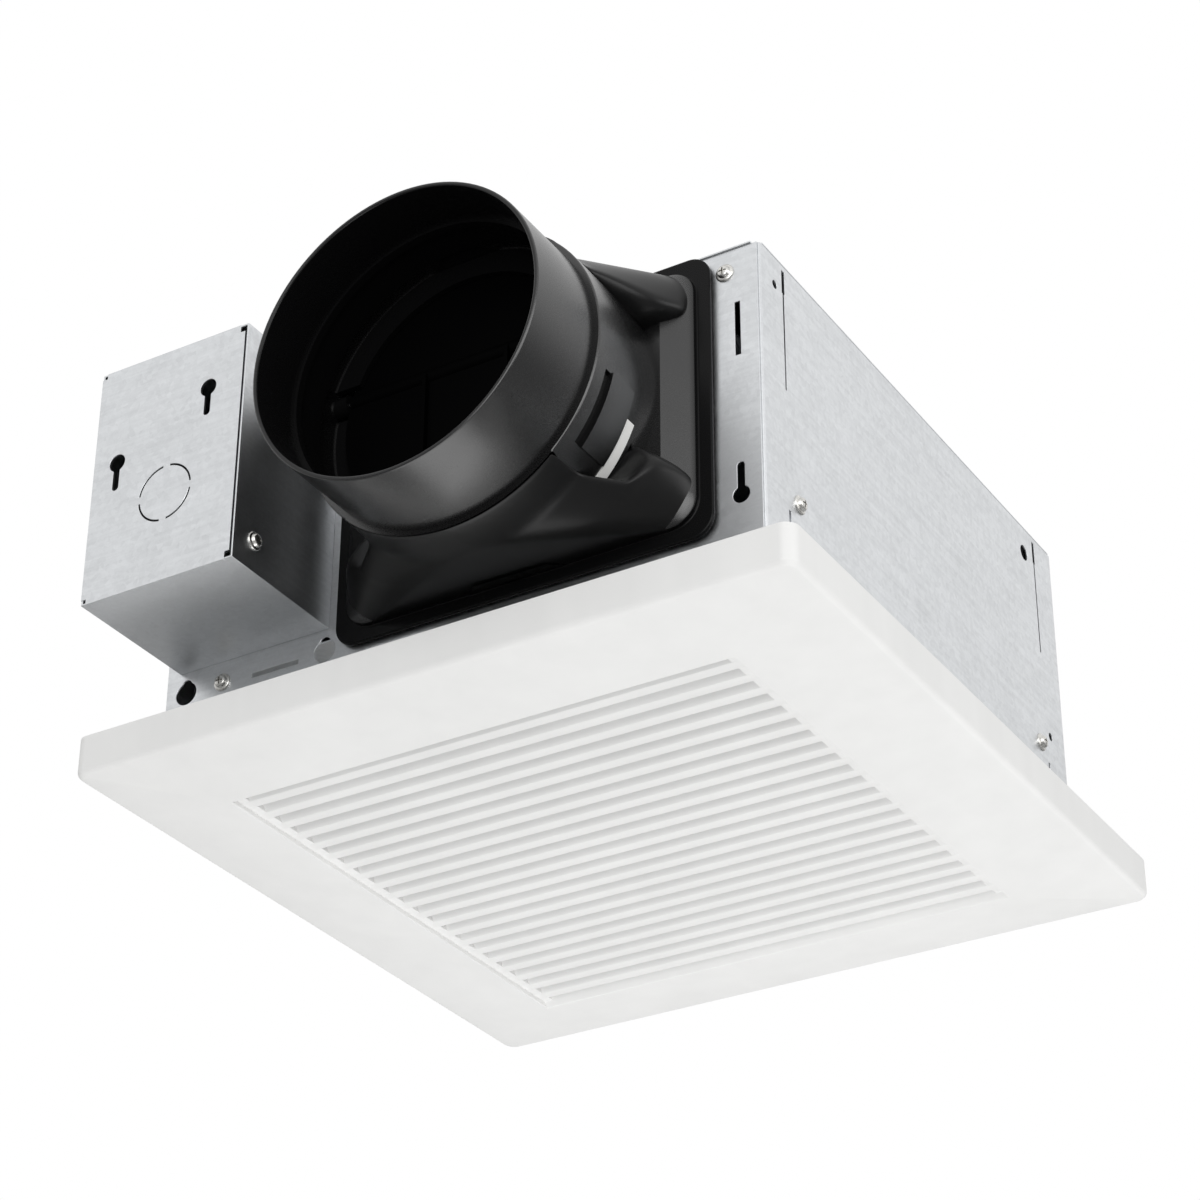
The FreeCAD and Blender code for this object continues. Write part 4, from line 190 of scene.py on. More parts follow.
class Finish:
    """A node material in the making: its shader, and short calls for the nodes that feed it."""

    def __init__(self, name):
        self.material = bpy.data.materials.new(name)
        self.material.use_nodes = True
        self.tree = self.material.node_tree
        self.shader = self.tree.nodes["Principled BSDF"]
        self.place = self.tree.nodes.new("ShaderNodeTexCoord").outputs["Object"]

    def feed(self, socket, value):
        """Link a node's output to a socket, or set the socket to a constant."""
        if isinstance(value, bpy.types.NodeSocket):
            self.tree.links.new(value, socket)
        else:
            socket.default_value = value

    def node(self, kind, inputs, **settings):
        """A node with its settings and its inputs by name."""
        made = self.tree.nodes.new(kind)
        for key, value in settings.items():
            setattr(made, key, value)
        for key, value in inputs.items():
            self.feed(made.inputs[key], value)
        return made

    def stretched(self, scale):
        """Object coordinates, scaled."""
        return self.node("ShaderNodeMapping", {"Vector": self.place, "Scale": scale}).outputs[0]

    def noise(self, scale, detail=4.0, place=None, roughness=0.55):
        """Cloudy variation from 0 to 1."""
        inputs = {"Vector": place or self.place, "Scale": scale, "Detail": detail, "Roughness": roughness}
        return self.node("ShaderNodeTexNoise", inputs).outputs[0]

    def cells(self, scale, output="Distance", place=None):
        """Crystal or pore cells."""
        inputs = {"Vector": place or self.place, "Scale": scale}
        return self.node("ShaderNodeTexVoronoi", inputs).outputs[output]

    def bands(self, scale, direction, place=None, distortion=0.0):
        """Parallel bands along an axis."""
        inputs = {"Vector": place or self.place, "Scale": scale, "Distortion": distortion}
        return self.node("ShaderNodeTexWave", inputs, bands_direction=direction).outputs["Fac"]

    def span(self, value, low, high, start=0.0, end=1.0):
        """A value spread from low to high."""
        inputs = {"Value": value, "From Min": start, "From Max": end, "To Min": low, "To Max": high}
        return self.node("ShaderNodeMapRange", inputs).outputs[0]

    def sum(self, first, second):
        """Two values added."""
        made = self.node("ShaderNodeMath", {}, operation="ADD")
        self.feed(made.inputs[0], first)
        self.feed(made.inputs[1], second)
        return made.outputs[0]

    def scaled(self, value, amount):
        """A value times a number or another value."""
        made = self.node("ShaderNodeMath", {}, operation="MULTIPLY")
        self.feed(made.inputs[0], value)
        self.feed(made.inputs[1], amount)
        return made.outputs[0]

    def between(self, share, low, high):
        """A colour between two colours."""
        made = self.node("ShaderNodeMix", {}, data_type="RGBA")
        self.feed(made.inputs[0], share)
        self.feed(made.inputs[6], (*low, 1.0))
        self.feed(made.inputs[7], (*high, 1.0))
        return made.outputs[2]

    def relief(self, height, strength, distance):
        """Bump the shader by a height."""
        inputs = {"Height": height, "Strength": strength, "Distance": distance}
        self.feed(self.shader.inputs["Normal"], self.node("ShaderNodeBump", inputs).outputs[0])

    def shade(self, **inputs):
        """Set the shader's inputs, with underscores for the spaces in their names."""
        for key, value in inputs.items():
            self.feed(self.shader.inputs[key.replace("_", " ")], value)
        return self.material


def tinted(base, amount):
    """A colour made lighter or darker by a factor."""
    return tuple(min(1.0, channel * amount) for channel in base)


def galvanised_sheet(name, colours, sizes, grain):
    """Zinc-coated sheet: faint crystals, soft clouds, and rolling streaks along one way."""
    made = Finish(name)
    warp = made.node("ShaderNodeVectorMath", {0: made.noise(260.0, 3.0), 1: (0.0012, 0.0012, 0.0012)},
                     operation="MULTIPLY").outputs[0]
    spread = made.node("ShaderNodeVectorMath", {0: made.place, 1: warp}, operation="ADD").outputs[0]
    crystal = made.node("ShaderNodeSeparateColor",
                        {"Color": made.cells(1.0 / sizes.spangle, "Color", spread)}).outputs[0]
    cloud = made.noise(38.0, 5.0)
    fleck = made.noise(900.0, 2.0)
    streak = made.noise(1.0, 3.0, made.stretched(grain))
    share = made.sum(made.sum(made.scaled(crystal, 0.16), made.scaled(cloud, 0.24)),
                     made.sum(made.scaled(streak, 0.40), made.scaled(fleck, 0.20)))
    tone = made.between(made.span(share, 0.0, 1.0, 0.25, 0.75), tinted(colours.galvanised, 0.88),
                        tinted(colours.galvanised, 1.10))
    made.relief(made.sum(made.scaled(crystal, 0.5), made.scaled(streak, 0.5)), 0.05, 0.0004)
    return made.shade(Base_Color=tone, Metallic=1.0, Roughness=made.span(share, 0.44, 0.28, 0.25, 0.75))


def plated(name, base, roughness):
    """Small plated or ground metal: bright, with fine tarnish."""
    made = Finish(name)
    tarnish = made.noise(420.0, 4.0)
    scuff = made.noise(1.0, 2.0, made.stretched((2400.0, 600.0, 2400.0)))
    tone = made.between(made.span(tarnish, 0.0, 1.0, 0.3, 0.7), tinted(base, 0.82), tinted(base, 1.08))
    made.relief(scuff, 0.06, 0.0001)
    dull = made.span(made.sum(tarnish, scuff), roughness - 0.08, roughness + 0.12, 0.6, 1.4)
    return made.shade(Base_Color=tone, Metallic=1.0, Roughness=dull)


def moulded(name, base, roughness, specular, grain):
    """Satin moulded plastic: a fine spark-eroded grain and slow shifts of gloss."""
    made = Finish(name)
    slow = made.noise(16.0, 3.0)
    fine = made.noise(grain, 3.0)
    flow = made.noise(1.0, 2.0, made.stretched((55.0, 55.0, 12.0)))
    tone = made.between(made.span(made.sum(slow, flow), 0.0, 1.0, 0.6, 1.4), tinted(base, 0.965),
                        tinted(base, 1.02))
    made.relief(made.sum(fine, made.scaled(slow, 0.5)), 0.07, 0.00012)
    return made.shade(Base_Color=tone, Specular_IOR_Level=specular,
                      Roughness=made.span(made.sum(slow, fine), roughness - 0.05, roughness + 0.07, 0.6, 1.4))


def adapter_plastic(name, base):
    """Moulded plastic, glossier on the collar and neck than on the flange, with the gloss inside the collar
    fading past its lip as painted shade.
    """
    made = Finish(name)
    slow = made.noise(16.0, 3.0)
    fine = made.noise(2600.0, 3.0)
    depth = made.node("ShaderNodeSeparateXYZ", {"Vector": made.place}).outputs["Y"]
    aside = made.node("ShaderNodeVectorMath", {0: made.place, 1: (COLLAR_X, 0.0, COLLAR_Z)},
                      operation="SUBTRACT")
    aside = made.node("ShaderNodeVectorMath", {0: aside.outputs[0], 1: (1.0, 0.0, 1.0)}, operation="MULTIPLY")
    wide = made.node("ShaderNodeVectorMath", {0: aside.outputs[0]}, operation="LENGTH").outputs["Value"]
    # Inside the collar, past the lip, the gloss fades away: painted shade deep in the collar
    inside_shade_gloss = made.scaled(made.span(wide, 1.0, 0.0, *COLLAR_WALL), made.span(depth, 0.56, 0.06, *LIP))
    shine = made.sum(made.span(wide, 0.0, 1.4, *COLLAR_WALL), inside_shade_gloss)
    gloss = made.scaled(made.span(depth, 0.60, 0.08, *SHOULDER), shine)
    tone = made.between(slow, tinted(base, 0.965), tinted(base, 1.02))
    made.relief(made.sum(fine, made.scaled(slow, 0.5)), 0.07, 0.00012)
    return made.shade(Base_Color=tone, Specular_IOR_Level=gloss,
                      Roughness=made.span(made.sum(slow, fine), 0.20, 0.32, 0.6, 1.4))


def cellular(name, base):
    """Closed-cell foam: open pores on a matte skin."""
    made = Finish(name)
    pores = made.cells(1500.0)
    tone = made.between(made.span(pores, 0.0, 1.0, 0.1, 0.7), tinted(base, 0.55), tinted(base, 1.35))
    made.relief(pores, 0.6, 0.0004)
    return made.shade(Base_Color=tone, Specular_IOR_Level=0.15, Roughness=made.span(pores, 0.95, 0.8))


def soft_rubber(name, base):
    """Matte rubber with a faint bloom."""
    made = Finish(name)
    bloom = made.noise(300.0, 5.0)
    tone = made.between(made.span(bloom, 0.0, 1.0, 0.35, 0.7), tinted(base, 0.8), tinted(base, 1.6))
    made.relief(bloom, 0.12, 0.0002)
    return made.shade(Base_Color=tone, Specular_IOR_Level=0.3, Roughness=made.span(bloom, 0.6, 0.8))


def painted(name, base):
    """Satin baked paint with a light orange peel."""
    made = Finish(name)
    peel = made.noise(700.0, 2.0)
    dust = made.noise(45.0, 6.0)
    tone = made.between(made.span(dust, 0.0, 1.0, 0.4, 0.8), base, tinted(base, 1.5))
    made.relief(peel, 0.10, 0.0002)
    return made.shade(Base_Color=tone, Metallic=0.0, Roughness=made.span(dust, 0.38, 0.55), Coat_Weight=0.15)


def laminated(name, base):
    """Punched steel sheets, stacked along the motor's axis."""
    made = Finish(name)
    sheets = made.bands(300.0, "Z")
    oxide = made.noise(180.0, 5.0)
    tone = made.between(made.scaled(sheets, oxide), tinted(base, 0.5), tinted(base, 1.2))
    made.relief(sheets, 0.4, 0.0003)
    return made.shade(Base_Color=tone, Metallic=0.9, Roughness=made.span(oxide, 0.4, 0.6))


def wound(name, base):
    """Enamelled wire laid in turns."""
    made = Finish(name)
    turns = made.bands(420.0, "Z", distortion=1.6)
    lacquer = made.noise(120.0, 3.0)
    tone = made.between(turns, tinted(base, 0.35), tinted(base, 1.15))
    made.relief(turns, 0.7, 0.0005)
    return made.shade(Base_Color=tone, Metallic=0.85, Roughness=made.span(lacquer, 0.25, 0.4),
                      Coat_Weight=0.5)


def drawn_wire(name, base):
    """Drawn spring wire: oil-dark steel with fine die lines."""
    made = Finish(name)
    lines = made.noise(1.0, 2.0, made.stretched((3000.0, 300.0, 300.0)))
    oil = made.noise(90.0, 4.0)
    tone = made.between(made.span(oil, 0.0, 1.0, 0.3, 0.7), tinted(base, 0.7), tinted(base, 1.15))
    made.relief(lines, 0.1, 0.0001)
    return made.shade(Base_Color=tone, Metallic=1.0, Roughness=made.span(oil, 0.25, 0.42))


def braided(name, base):
    """A braided sleeve: two crossing sets of strands."""
    made = Finish(name)
    right = made.bands(260.0, "DIAGONAL")
    left = made.bands(260.0, "DIAGONAL", made.stretched((1.0, 1.0, -1.0)))
    strands = made.scaled(right, left)
    tone = made.between(strands, tinted(base, 0.5), tinted(base, 1.8))
    made.relief(strands, 0.6, 0.0004)
    return made.shade(Base_Color=tone, Specular_IOR_Level=0.3, Roughness=made.span(strands, 0.8, 0.55))


def scene_colours():
    """The scene's colours."""
    return bpy.context.scene.fan_colours


def scene_sizes():
    """The scene's sizes."""
    return bpy.context.scene.fan_sizes


def finish_of(slot):
    """The material of one of the record's slots, made once."""
    found = bpy.data.materials.get(f"fan_{slot}")
    if found:
        return found
    colours = scene_colours()
    makers = {
        "galvanised_steel": lambda name: galvanised_sheet(name, colours, scene_sizes(), (14.0, 14.0, 520.0)),
        "zinc_fastener": lambda name: plated(name, colours.zinc, 0.26),
        "black_plastic": lambda name: moulded(name, colours.black_plastic, 0.23, 0.30, 2600.0),
        "adapter_plastic": lambda name: adapter_plastic(name, colours.black_plastic),
        "hood_plastic": lambda name: moulded(name, colours.black_plastic, 0.32, 0.28, 2600.0),
        # Darker, duller plastic for the flap: painted shade inside the collar
        "flap_plastic": lambda name: moulded(name, colours.flap_plastic, 0.60, 0.02, 2600.0),
        "white_plastic": lambda name: moulded(name, colours.white_plastic, 0.46, 0.40, 1800.0),
        "white_nylon": lambda name: moulded(name, colours.white_nylon, 0.38, 0.45, 2200.0),
        "foam": lambda name: cellular(name, colours.foam),
        "rubber": lambda name: soft_rubber(name, colours.rubber),
        "motor_steel": lambda name: painted(name, colours.motor_paint),
        "core_steel": lambda name: laminated(name, colours.core_steel),
        "copper": lambda name: wound(name, colours.copper),
        "bright_steel": lambda name: plated(name, colours.bright_steel, 0.20),
        "spring_steel": lambda name: drawn_wire(name, colours.spring_steel),
        "capacitor_case": lambda name: moulded(name, colours.capacitor, 0.40, 0.45, 2400.0),
        "lead_sleeve": lambda name: braided(name, colours.sleeve),
    }
    return makers[slot](f"fan_{slot}")


def dress(*nodes, slot=None):
    """Give CAD nodes the finish of their slot, or another one."""
    for node in nodes:
        for holder in frame["nodes"][node].material_slots:
            holder.material = finish_of(slot or NODE_SLOT[node])


def merged_shape(node):
    """A CAD node's form as one closed mesh."""
    shape = bmesh.new()
    shape.from_mesh(frame["nodes"][node].data)
    bmesh.ops.remove_doubles(shape, verts=shape.verts, dist=MERGE)
    return shape


def sheet_shape(node):
    """A CAD node's form as one closed mesh with its flat areas made whole."""
    shape = merged_shape(node)
    bmesh.ops.dissolve_limit(shape, angle_limit=math.radians(FLAT), use_dissolve_boundaries=False,
                             verts=shape.verts, edges=shape.edges, delimit=set())
    return shape


def piece_from(shape, name, body, *nodes):
    """An object of a shape that rides on a body and stands for CAD nodes."""
    mesh = bpy.data.meshes.new(name)
    shape.to_mesh(mesh)
    shape.free()
    if "custom_normal" in mesh.attributes:
        mesh.attributes.remove(mesh.attributes["custom_normal"])
    piece = bpy.data.objects.new(name, mesh)
    bpy.context.scene.collection.objects.link(piece)
    slot = NODE_SLOT[nodes[0]]
    mesh.materials.append(finish_of(slot))
    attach(piece, body)
    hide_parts(*nodes)
    return piece


def smoothed(piece, angle=SHARP):
    """Shade a piece smooth up to its sharp edges."""
    piece.data.shade_smooth()
    piece.data.set_sharp_from_angle(angle=math.radians(angle))


def soften(piece, width, steps):
    """Round a piece's edges and shade the rest smooth."""
    smoothed(piece)
    rounding = piece.modifiers.new("edges", "BEVEL")
    rounding.affect = "EDGES"
    rounding.width = width
    rounding.segments = steps
    rounding.profile = 0.5
    rounding.limit_method = "ANGLE"
    rounding.angle_limit = math.radians(SHARP)
    rounding.use_clamp_overlap = False
    rounding.loop_slide = False
    rounding.harden_normals = True


def moved(verts, place):
    """Put vertices where a function of their place says."""
    for vert in verts:
        vert.co = place(vert.co)


def extruded(shape, faces, place, closed=False):
    """Faces pushed out to a new place, with the old ones kept only on a closed form; gives the new faces."""
    made = bmesh.ops.extrude_face_region(shape, geom=faces)["geom"]
    moved([item for item in made if isinstance(item, bmesh.types.BMVert)], place)
    if not closed:
        bmesh.ops.delete(shape, geom=[face for face in faces if face.is_valid], context="FACES_ONLY")
    return [item for item in made if isinstance(item, bmesh.types.BMFace)]


def rounded(shape, edges, width, steps):
    """Round some edges of a shape."""
    bmesh.ops.bevel(shape, geom=edges, offset=width, offset_type="OFFSET", segments=steps, profile=0.5,
                    affect="EDGES", material=-1, clamp_overlap=False)


def level_edges(shape, height):
    """The edges that lie at one height."""
    near = 0.000005
    return [edge for edge in shape.edges if all(abs(vert.co.z - height) < near for vert in edge.verts)]


def slab(shape, low, high, width, steps):
    """A block with rounded edges between two corners."""
    made = bmesh.ops.create_cube(shape, size=1.0)["verts"]
    low, high = Vector(low), Vector(high)
    middle, reach = (low + high) / 2, high - low
    moved(made, lambda spot: middle + Vector(part * span for part, span in zip(spot, reach)))
    rounded(shape, list({edge for vert in made for edge in vert.link_edges}), width, steps)


class FAN_OT_stage(Operator):
    """Set up the camera, lamps, floor and white surroundings"""
    bl_idname = "fan.stage"
    bl_label = "Stage"

    def execute(self, context):
        stage = context.scene.fan_stage
        context.scene.view_settings.view_transform = "Standard"
        self.camera(context, stage)
        self.surroundings(context, stage)
        self.floor(context, stage)
        self.lamps(context)
        return {"FINISHED"}

    def camera(self, context, stage):
        """A camera turned by yaw, pitch and roll."""
        yaw, pitch, roll = stage.camera_yaw, stage.camera_pitch, stage.camera_roll
        ahead = Vector((math.sin(yaw) * math.cos(pitch), math.cos(yaw) * math.cos(pitch), math.sin(pitch)))
        right = Vector((math.cos(yaw), -math.sin(yaw), 0.0))
        up = right.cross(ahead)
        right, up = (right * math.cos(roll) + up * math.sin(roll),
                     up * math.cos(roll) - right * math.sin(roll))
        lens = bpy.data.cameras.new("camera")
        lens.sensor_width = 36.0
        lens.lens = stage.lens
        lens.clip_end = 20.0
        camera = bpy.data.objects.new("camera", lens)
        context.scene.collection.objects.link(camera)
        turn = Matrix((right, up, -ahead)).transposed().to_4x4()
        camera.matrix_world = Matrix.Translation(stage.camera_place) @ turn
        context.scene.camera = camera

    def surroundings(self, context, stage):
        """White to the camera, dimmer as light, and darker low down in gloss and metal."""
        world = bpy.data.worlds.new("surroundings")
        world.use_nodes = True
        context.scene.world = world
        nodes, links = world.node_tree.nodes, world.node_tree.links
        paths = nodes.new("ShaderNodeLightPath")
        seen = nodes.new("ShaderNodeMath")
        seen.operation = "MAXIMUM"
        links.new(paths.outputs["Is Camera Ray"], seen.inputs[0])
        links.new(paths.outputs["Is Transmission Ray"], seen.inputs[1])
        height = nodes.new("ShaderNodeSeparateXYZ")
        links.new(nodes.new("ShaderNodeTexCoord").outputs["Generated"], height.inputs[0])
        mirrored = nodes.new("ShaderNodeMapRange")
        mirrored.interpolation_type = "SMOOTHSTEP"
        limits = {"From Min": -0.10, "From Max": 0.50, "To Min": stage.low_mirror, "To Max": 1.0}
        for socket, value in limits.items():
            mirrored.inputs[socket].default_value = value
        links.new(height.outputs["Z"], mirrored.inputs["Value"])
        glossy = nodes.new("ShaderNodeMix")
        glossy.inputs["A"].default_value = stage.fill
        links.new(paths.outputs["Is Glossy Ray"], glossy.inputs["Factor"])
        links.new(mirrored.outputs[0], glossy.inputs["B"])
        strength = nodes.new("ShaderNodeMix")
        strength.inputs["B"].default_value = 1.0
        links.new(seen.outputs[0], strength.inputs["Factor"])
        links.new(glossy.outputs[0], strength.inputs["A"])
        light = nodes["Background"]
        light.inputs["Color"].default_value = (1.0, 1.0, 1.0, 1.0)
        links.new(strength.outputs[0], light.inputs["Strength"])

    def floor(self, context, stage):
        """A pale floor far below."""
        shape = bmesh.new()
        bmesh.ops.create_grid(shape, x_segments=1, y_segments=1, size=6.0)
        bmesh.ops.translate(shape, verts=shape.verts, vec=(0.0, 0.0, stage.floor_height))
        mesh = bpy.data.meshes.new("floor")
        shape.to_mesh(mesh)
        shape.free()
        floor = bpy.data.objects.new("floor", mesh)
        context.scene.collection.objects.link(floor)
        made = Finish("floor")
        speck = made.noise(60.0, 3.0)
        tone = made.between(speck, (0.60, 0.60, 0.60), (0.63, 0.63, 0.63))
        mesh.materials.append(made.shade(Base_Color=tone, Roughness=0.8, Specular_IOR_Level=0.2))

    def lamps(self, context):
        """Large soft disks in front, at the side and below."""
        for lamp in LAMPS:
            self.lamp(context, *lamp)

    def lamp(self, context, name, place, target, width, power):
        """One disk lamp that looks at its target."""
        data = bpy.data.lights.new(name, "AREA")
        data.shape = "DISK"
        data.size = width
        data.energy = power
        lamp = bpy.data.objects.new(name, data)
        context.scene.collection.objects.link(lamp)
        way = Vector(target) - Vector(place)
        lamp.matrix_world = Matrix.Translation(place) @ way.to_track_quat("-Z", "Y").to_matrix().to_4x4()


class FAN_OT_housing(Operator):
    """Dress the housing's folded sheets"""
    bl_idname = "fan.housing"
    bl_label = "Housing"

    def execute(self, context):
        sizes = scene_sizes()
        for node in ("top_panel", "front_panel", "rear_panel", "left_panel", "right_panel"):
            piece = piece_from(merged_shape(node), f"{node}_sheet", "housing", node)
            soften(piece, sizes.sheet_edge, sizes.edge_steps)
        dress("left_spring_bracket", "right_spring_bracket")
        return {"FINISHED"}


class FAN_OT_wiring_box(Operator):
    """Dress the wiring box, its cover and its connections"""
    bl_idname = "fan.wiring_box"
    bl_label = "Wiring Box"

    def execute(self, context):
        sizes = scene_sizes()
        for node, shape in (("wiring_box", merged_shape("wiring_box")), ("wiring_box_cover", self.lid())):
            piece = piece_from(shape, f"{node}_sheet", "housing", node)
            soften(piece, sizes.sheet_edge, sizes.edge_steps)
        smoothed(piece_from(merged_shape("motor_lead"), "motor_lead_sleeve", "housing", "motor_lead"))
        dress("terminal_block", "motor_plug", "lead_bushings")
        return {"FINISHED"}

    def lid(self):
        """The cover, with its front drawn out over the box's left, upper and lower edges."""
        shape = merged_shape("wiring_box_cover")
        low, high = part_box("wiring_box_cover")
        box_low, box_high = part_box("wiring_box")
        lap, plate, near = 0.0002, 0.0012, 0.00005
        for vert in shape.verts:
            if vert.co.y > low[1] + plate:
                continue
            if vert.co.x < low[0] + near:
                vert.co.x = box_low[0] - lap
            if vert.co.z < low[2] + near:
                vert.co.z = box_low[2] - lap
            elif vert.co.z > high[2] - near:
                vert.co.z = box_high[2] + lap
            if vert.co.y < low[1] + near:
                vert.co.y = box_low[1] - lap
        return shape


class FAN_OT_duct_adapter(Operator):
    """Dress the moulded duct adapter, its gasket, catch and damper"""
    bl_idname = "fan.duct_adapter"
    bl_label = "Duct Adapter"

    def execute(self, context):
        sizes = scene_sizes()
        shape = merged_shape("duct_adapter")
        bmesh.ops.delete(shape, geom=[face for face in shape.faces if self.under_hood(face)], context="FACES")
        rounded(shape, [edge for edge in shape.edges if self.shows_round(edge)], sizes.moulded_edge,
                sizes.edge_steps)
        moulding = piece_from(shape, "duct_adapter_moulding", "housing", "duct_adapter")
        smoothed(moulding, SHARP_ADAPTER)
        moulding.data.materials[0] = finish_of("adapter_plastic")
        self.hoods(sizes)
        gasket = piece_from(sheet_shape("adapter_gasket"), "adapter_gasket_foam", "housing", "adapter_gasket")
        soften(gasket, sizes.sheet_edge, sizes.edge_steps)
        seal = piece_from(sheet_shape("damper_seal"), "damper_seal_foam", "damper", "damper_seal")
        soften(seal, sizes.sheet_edge, sizes.edge_steps)
        dress("collar_catch", "damper_pin")
        # The flap takes a darker plastic than the adapter, as painted shade inside the collar
        dress("damper_flap", slot="flap_plastic")
        return {"FINISHED"}

    def from_axis(self, vert):
        """A vertex's distance from the collar's axis."""
        return math.hypot(vert.co.x - COLLAR_X, vert.co.z - COLLAR_Z)

    def under_hood(self, face):
        """Whether a face belongs to the plain roofs that the hoods stand for."""
        near, band, foot = 0.0001, 0.0015, math.tan(math.radians(46.5))
        if min(vert.co.y for vert in face.verts) > PLATEAU - near:
            return False
        if max(self.from_axis(vert) for vert in face.verts) > LATCH_TOP:
            return True
        off = face.calc_center_median() - Vector((COLLAR_X, 0.0, COLLAR_Z))
        outward = face.normal.x * off.x + face.normal.z * off.z > 0.0
        behind = max(vert.co.y for vert in face.verts) > BEAD + band
        return behind and outward and abs(off.z) > abs(off.x) * foot

    def shows_round(self, edge):
        """Whether an edge is a sharp one on the flange, the bead or the collar's rim."""
        near, sharp = 0.0002, math.radians(SHARP)
        if len(edge.link_faces) != 2 or edge.calc_face_angle() < sharp:
            return False
        depths = [vert.co.y for vert in edge.verts]
        wide = min(self.from_axis(vert) for vert in edge.verts)
        if min(depths) > STEP_FRONT or max(depths) < RIM + near:
            return True
        return wide > NECK - near and all(abs(depth - BEAD) < near for depth in depths)

    def hoods(self, sizes):
        """The smooth hoods between the round neck and the flange, above and below."""
        shape = bmesh.new()
        for rise, course in ((1, UPPER_HOOD), (-1, LOWER_HOOD)):
            self.hood(shape, rise, course)
        bmesh.ops.solidify(shape, geom=list(shape.faces), thickness=sizes.hood_wall)
        hood = piece_from(shape, "adapter_hoods", "housing", "duct_adapter")
        hood.data.materials[0] = finish_of("hood_plastic")
        hood.data.shade_smooth()
        smoothing = hood.modifiers.new("smoothing", "SUBSURF")
        smoothing.levels = smoothing.render_levels = 2

    def hood(self, shape, rise, course):
        """An arch that starts on the neck, leaves it and grows back into two of the flange's corners."""
        behind_bead = 0.0001
        spots = self.arch(BEAD + behind_bead, rise, *course[0])
        made = [shape.verts.new(spot) for spot in spots]
        row = [shape.edges.new(pair) for pair in zip(made, made[1:])]
        for level in course:
            depth = HOOD_START + (FLANGE_BACK - HOOD_START) * level[0]
            goals = dict(zip((tuple(spot) for spot in spots), self.arch(depth, rise, *level)))
            grown = bmesh.ops.extrude_edge_only(shape, edges=row)["geom"]
            ring = [item for item in grown if isinstance(item, bmesh.types.BMVert)]
            moved(ring, lambda at: goals[tuple(at)])
            row = [item for item in grown if isinstance(item, bmesh.types.BMEdge)
                   and all(vert in ring for vert in item.verts)]
            spots = list(goals.values())
            made += ring
        faces = list({face for vert in made for face in vert.link_faces})
        bmesh.ops.recalc_face_normals(shape, faces=faces)
        if sum(face.normal.z * face.calc_area() for face in faces) * rise < 0.0:
            bmesh.ops.reverse_faces(shape, faces=faces)

    def arch(self, depth, rise, share, foot, beyond):
        """A hood's outline at one depth, from its right foot over the top to its left foot."""
        sunk, above, apart, steps = 0.001, 0.0003, 0.0005, 8
        radius = NECK + above + (HOOD_CORNER - NECK) * share
        middle_x, middle_z = apart + HOOD_WIDE * share, HOOD_TALL[rise] * share
        turn = math.radians(foot)
        foot_x, foot_z = (NECK - sunk) * math.cos(turn), (NECK - sunk) * math.sin(turn)
        edge = math.asin((foot_z + beyond - middle_z) / radius)
        turns = [edge + (math.pi / 2 - edge) * step / steps for step in range(steps + 1)]
        half = [(foot_x, foot_z)]
        half += [(middle_x + radius * math.cos(turn), middle_z + radius * math.sin(turn)) for turn in turns]
        whole = half + [(-x, z) for x, z in reversed(half)]
        return [Vector((COLLAR_X + x, depth, COLLAR_Z + z * rise)) for x, z in whole]


class FAN_OT_blower(Operator):
    """Dress the scroll, the wheel and the motor"""
    bl_idname = "fan.blower"
    bl_label = "Blower"

    def execute(self, context):
        dress("scroll_wall", "scroll_top_plate", "inlet_plate", "blower_posts", "wheel_back_plate",
              "wheel_blades", "wheel_end_ring", "wheel_washer", "wheel_nut", "motor_lower_shell",
              "motor_upper_shell", "upper_bearing", "lower_bearing", "stator_core", "stator_windings",
              "rotor_core", "motor_shaft", "motor_grommets", "run_capacitor", "capacitor_clip")
        lead = merged_shape("capacitor_lead")
        smoothed(piece_from(lead, "capacitor_lead_sleeve", "housing", "capacitor_lead"))
        return {"FINISHED"}


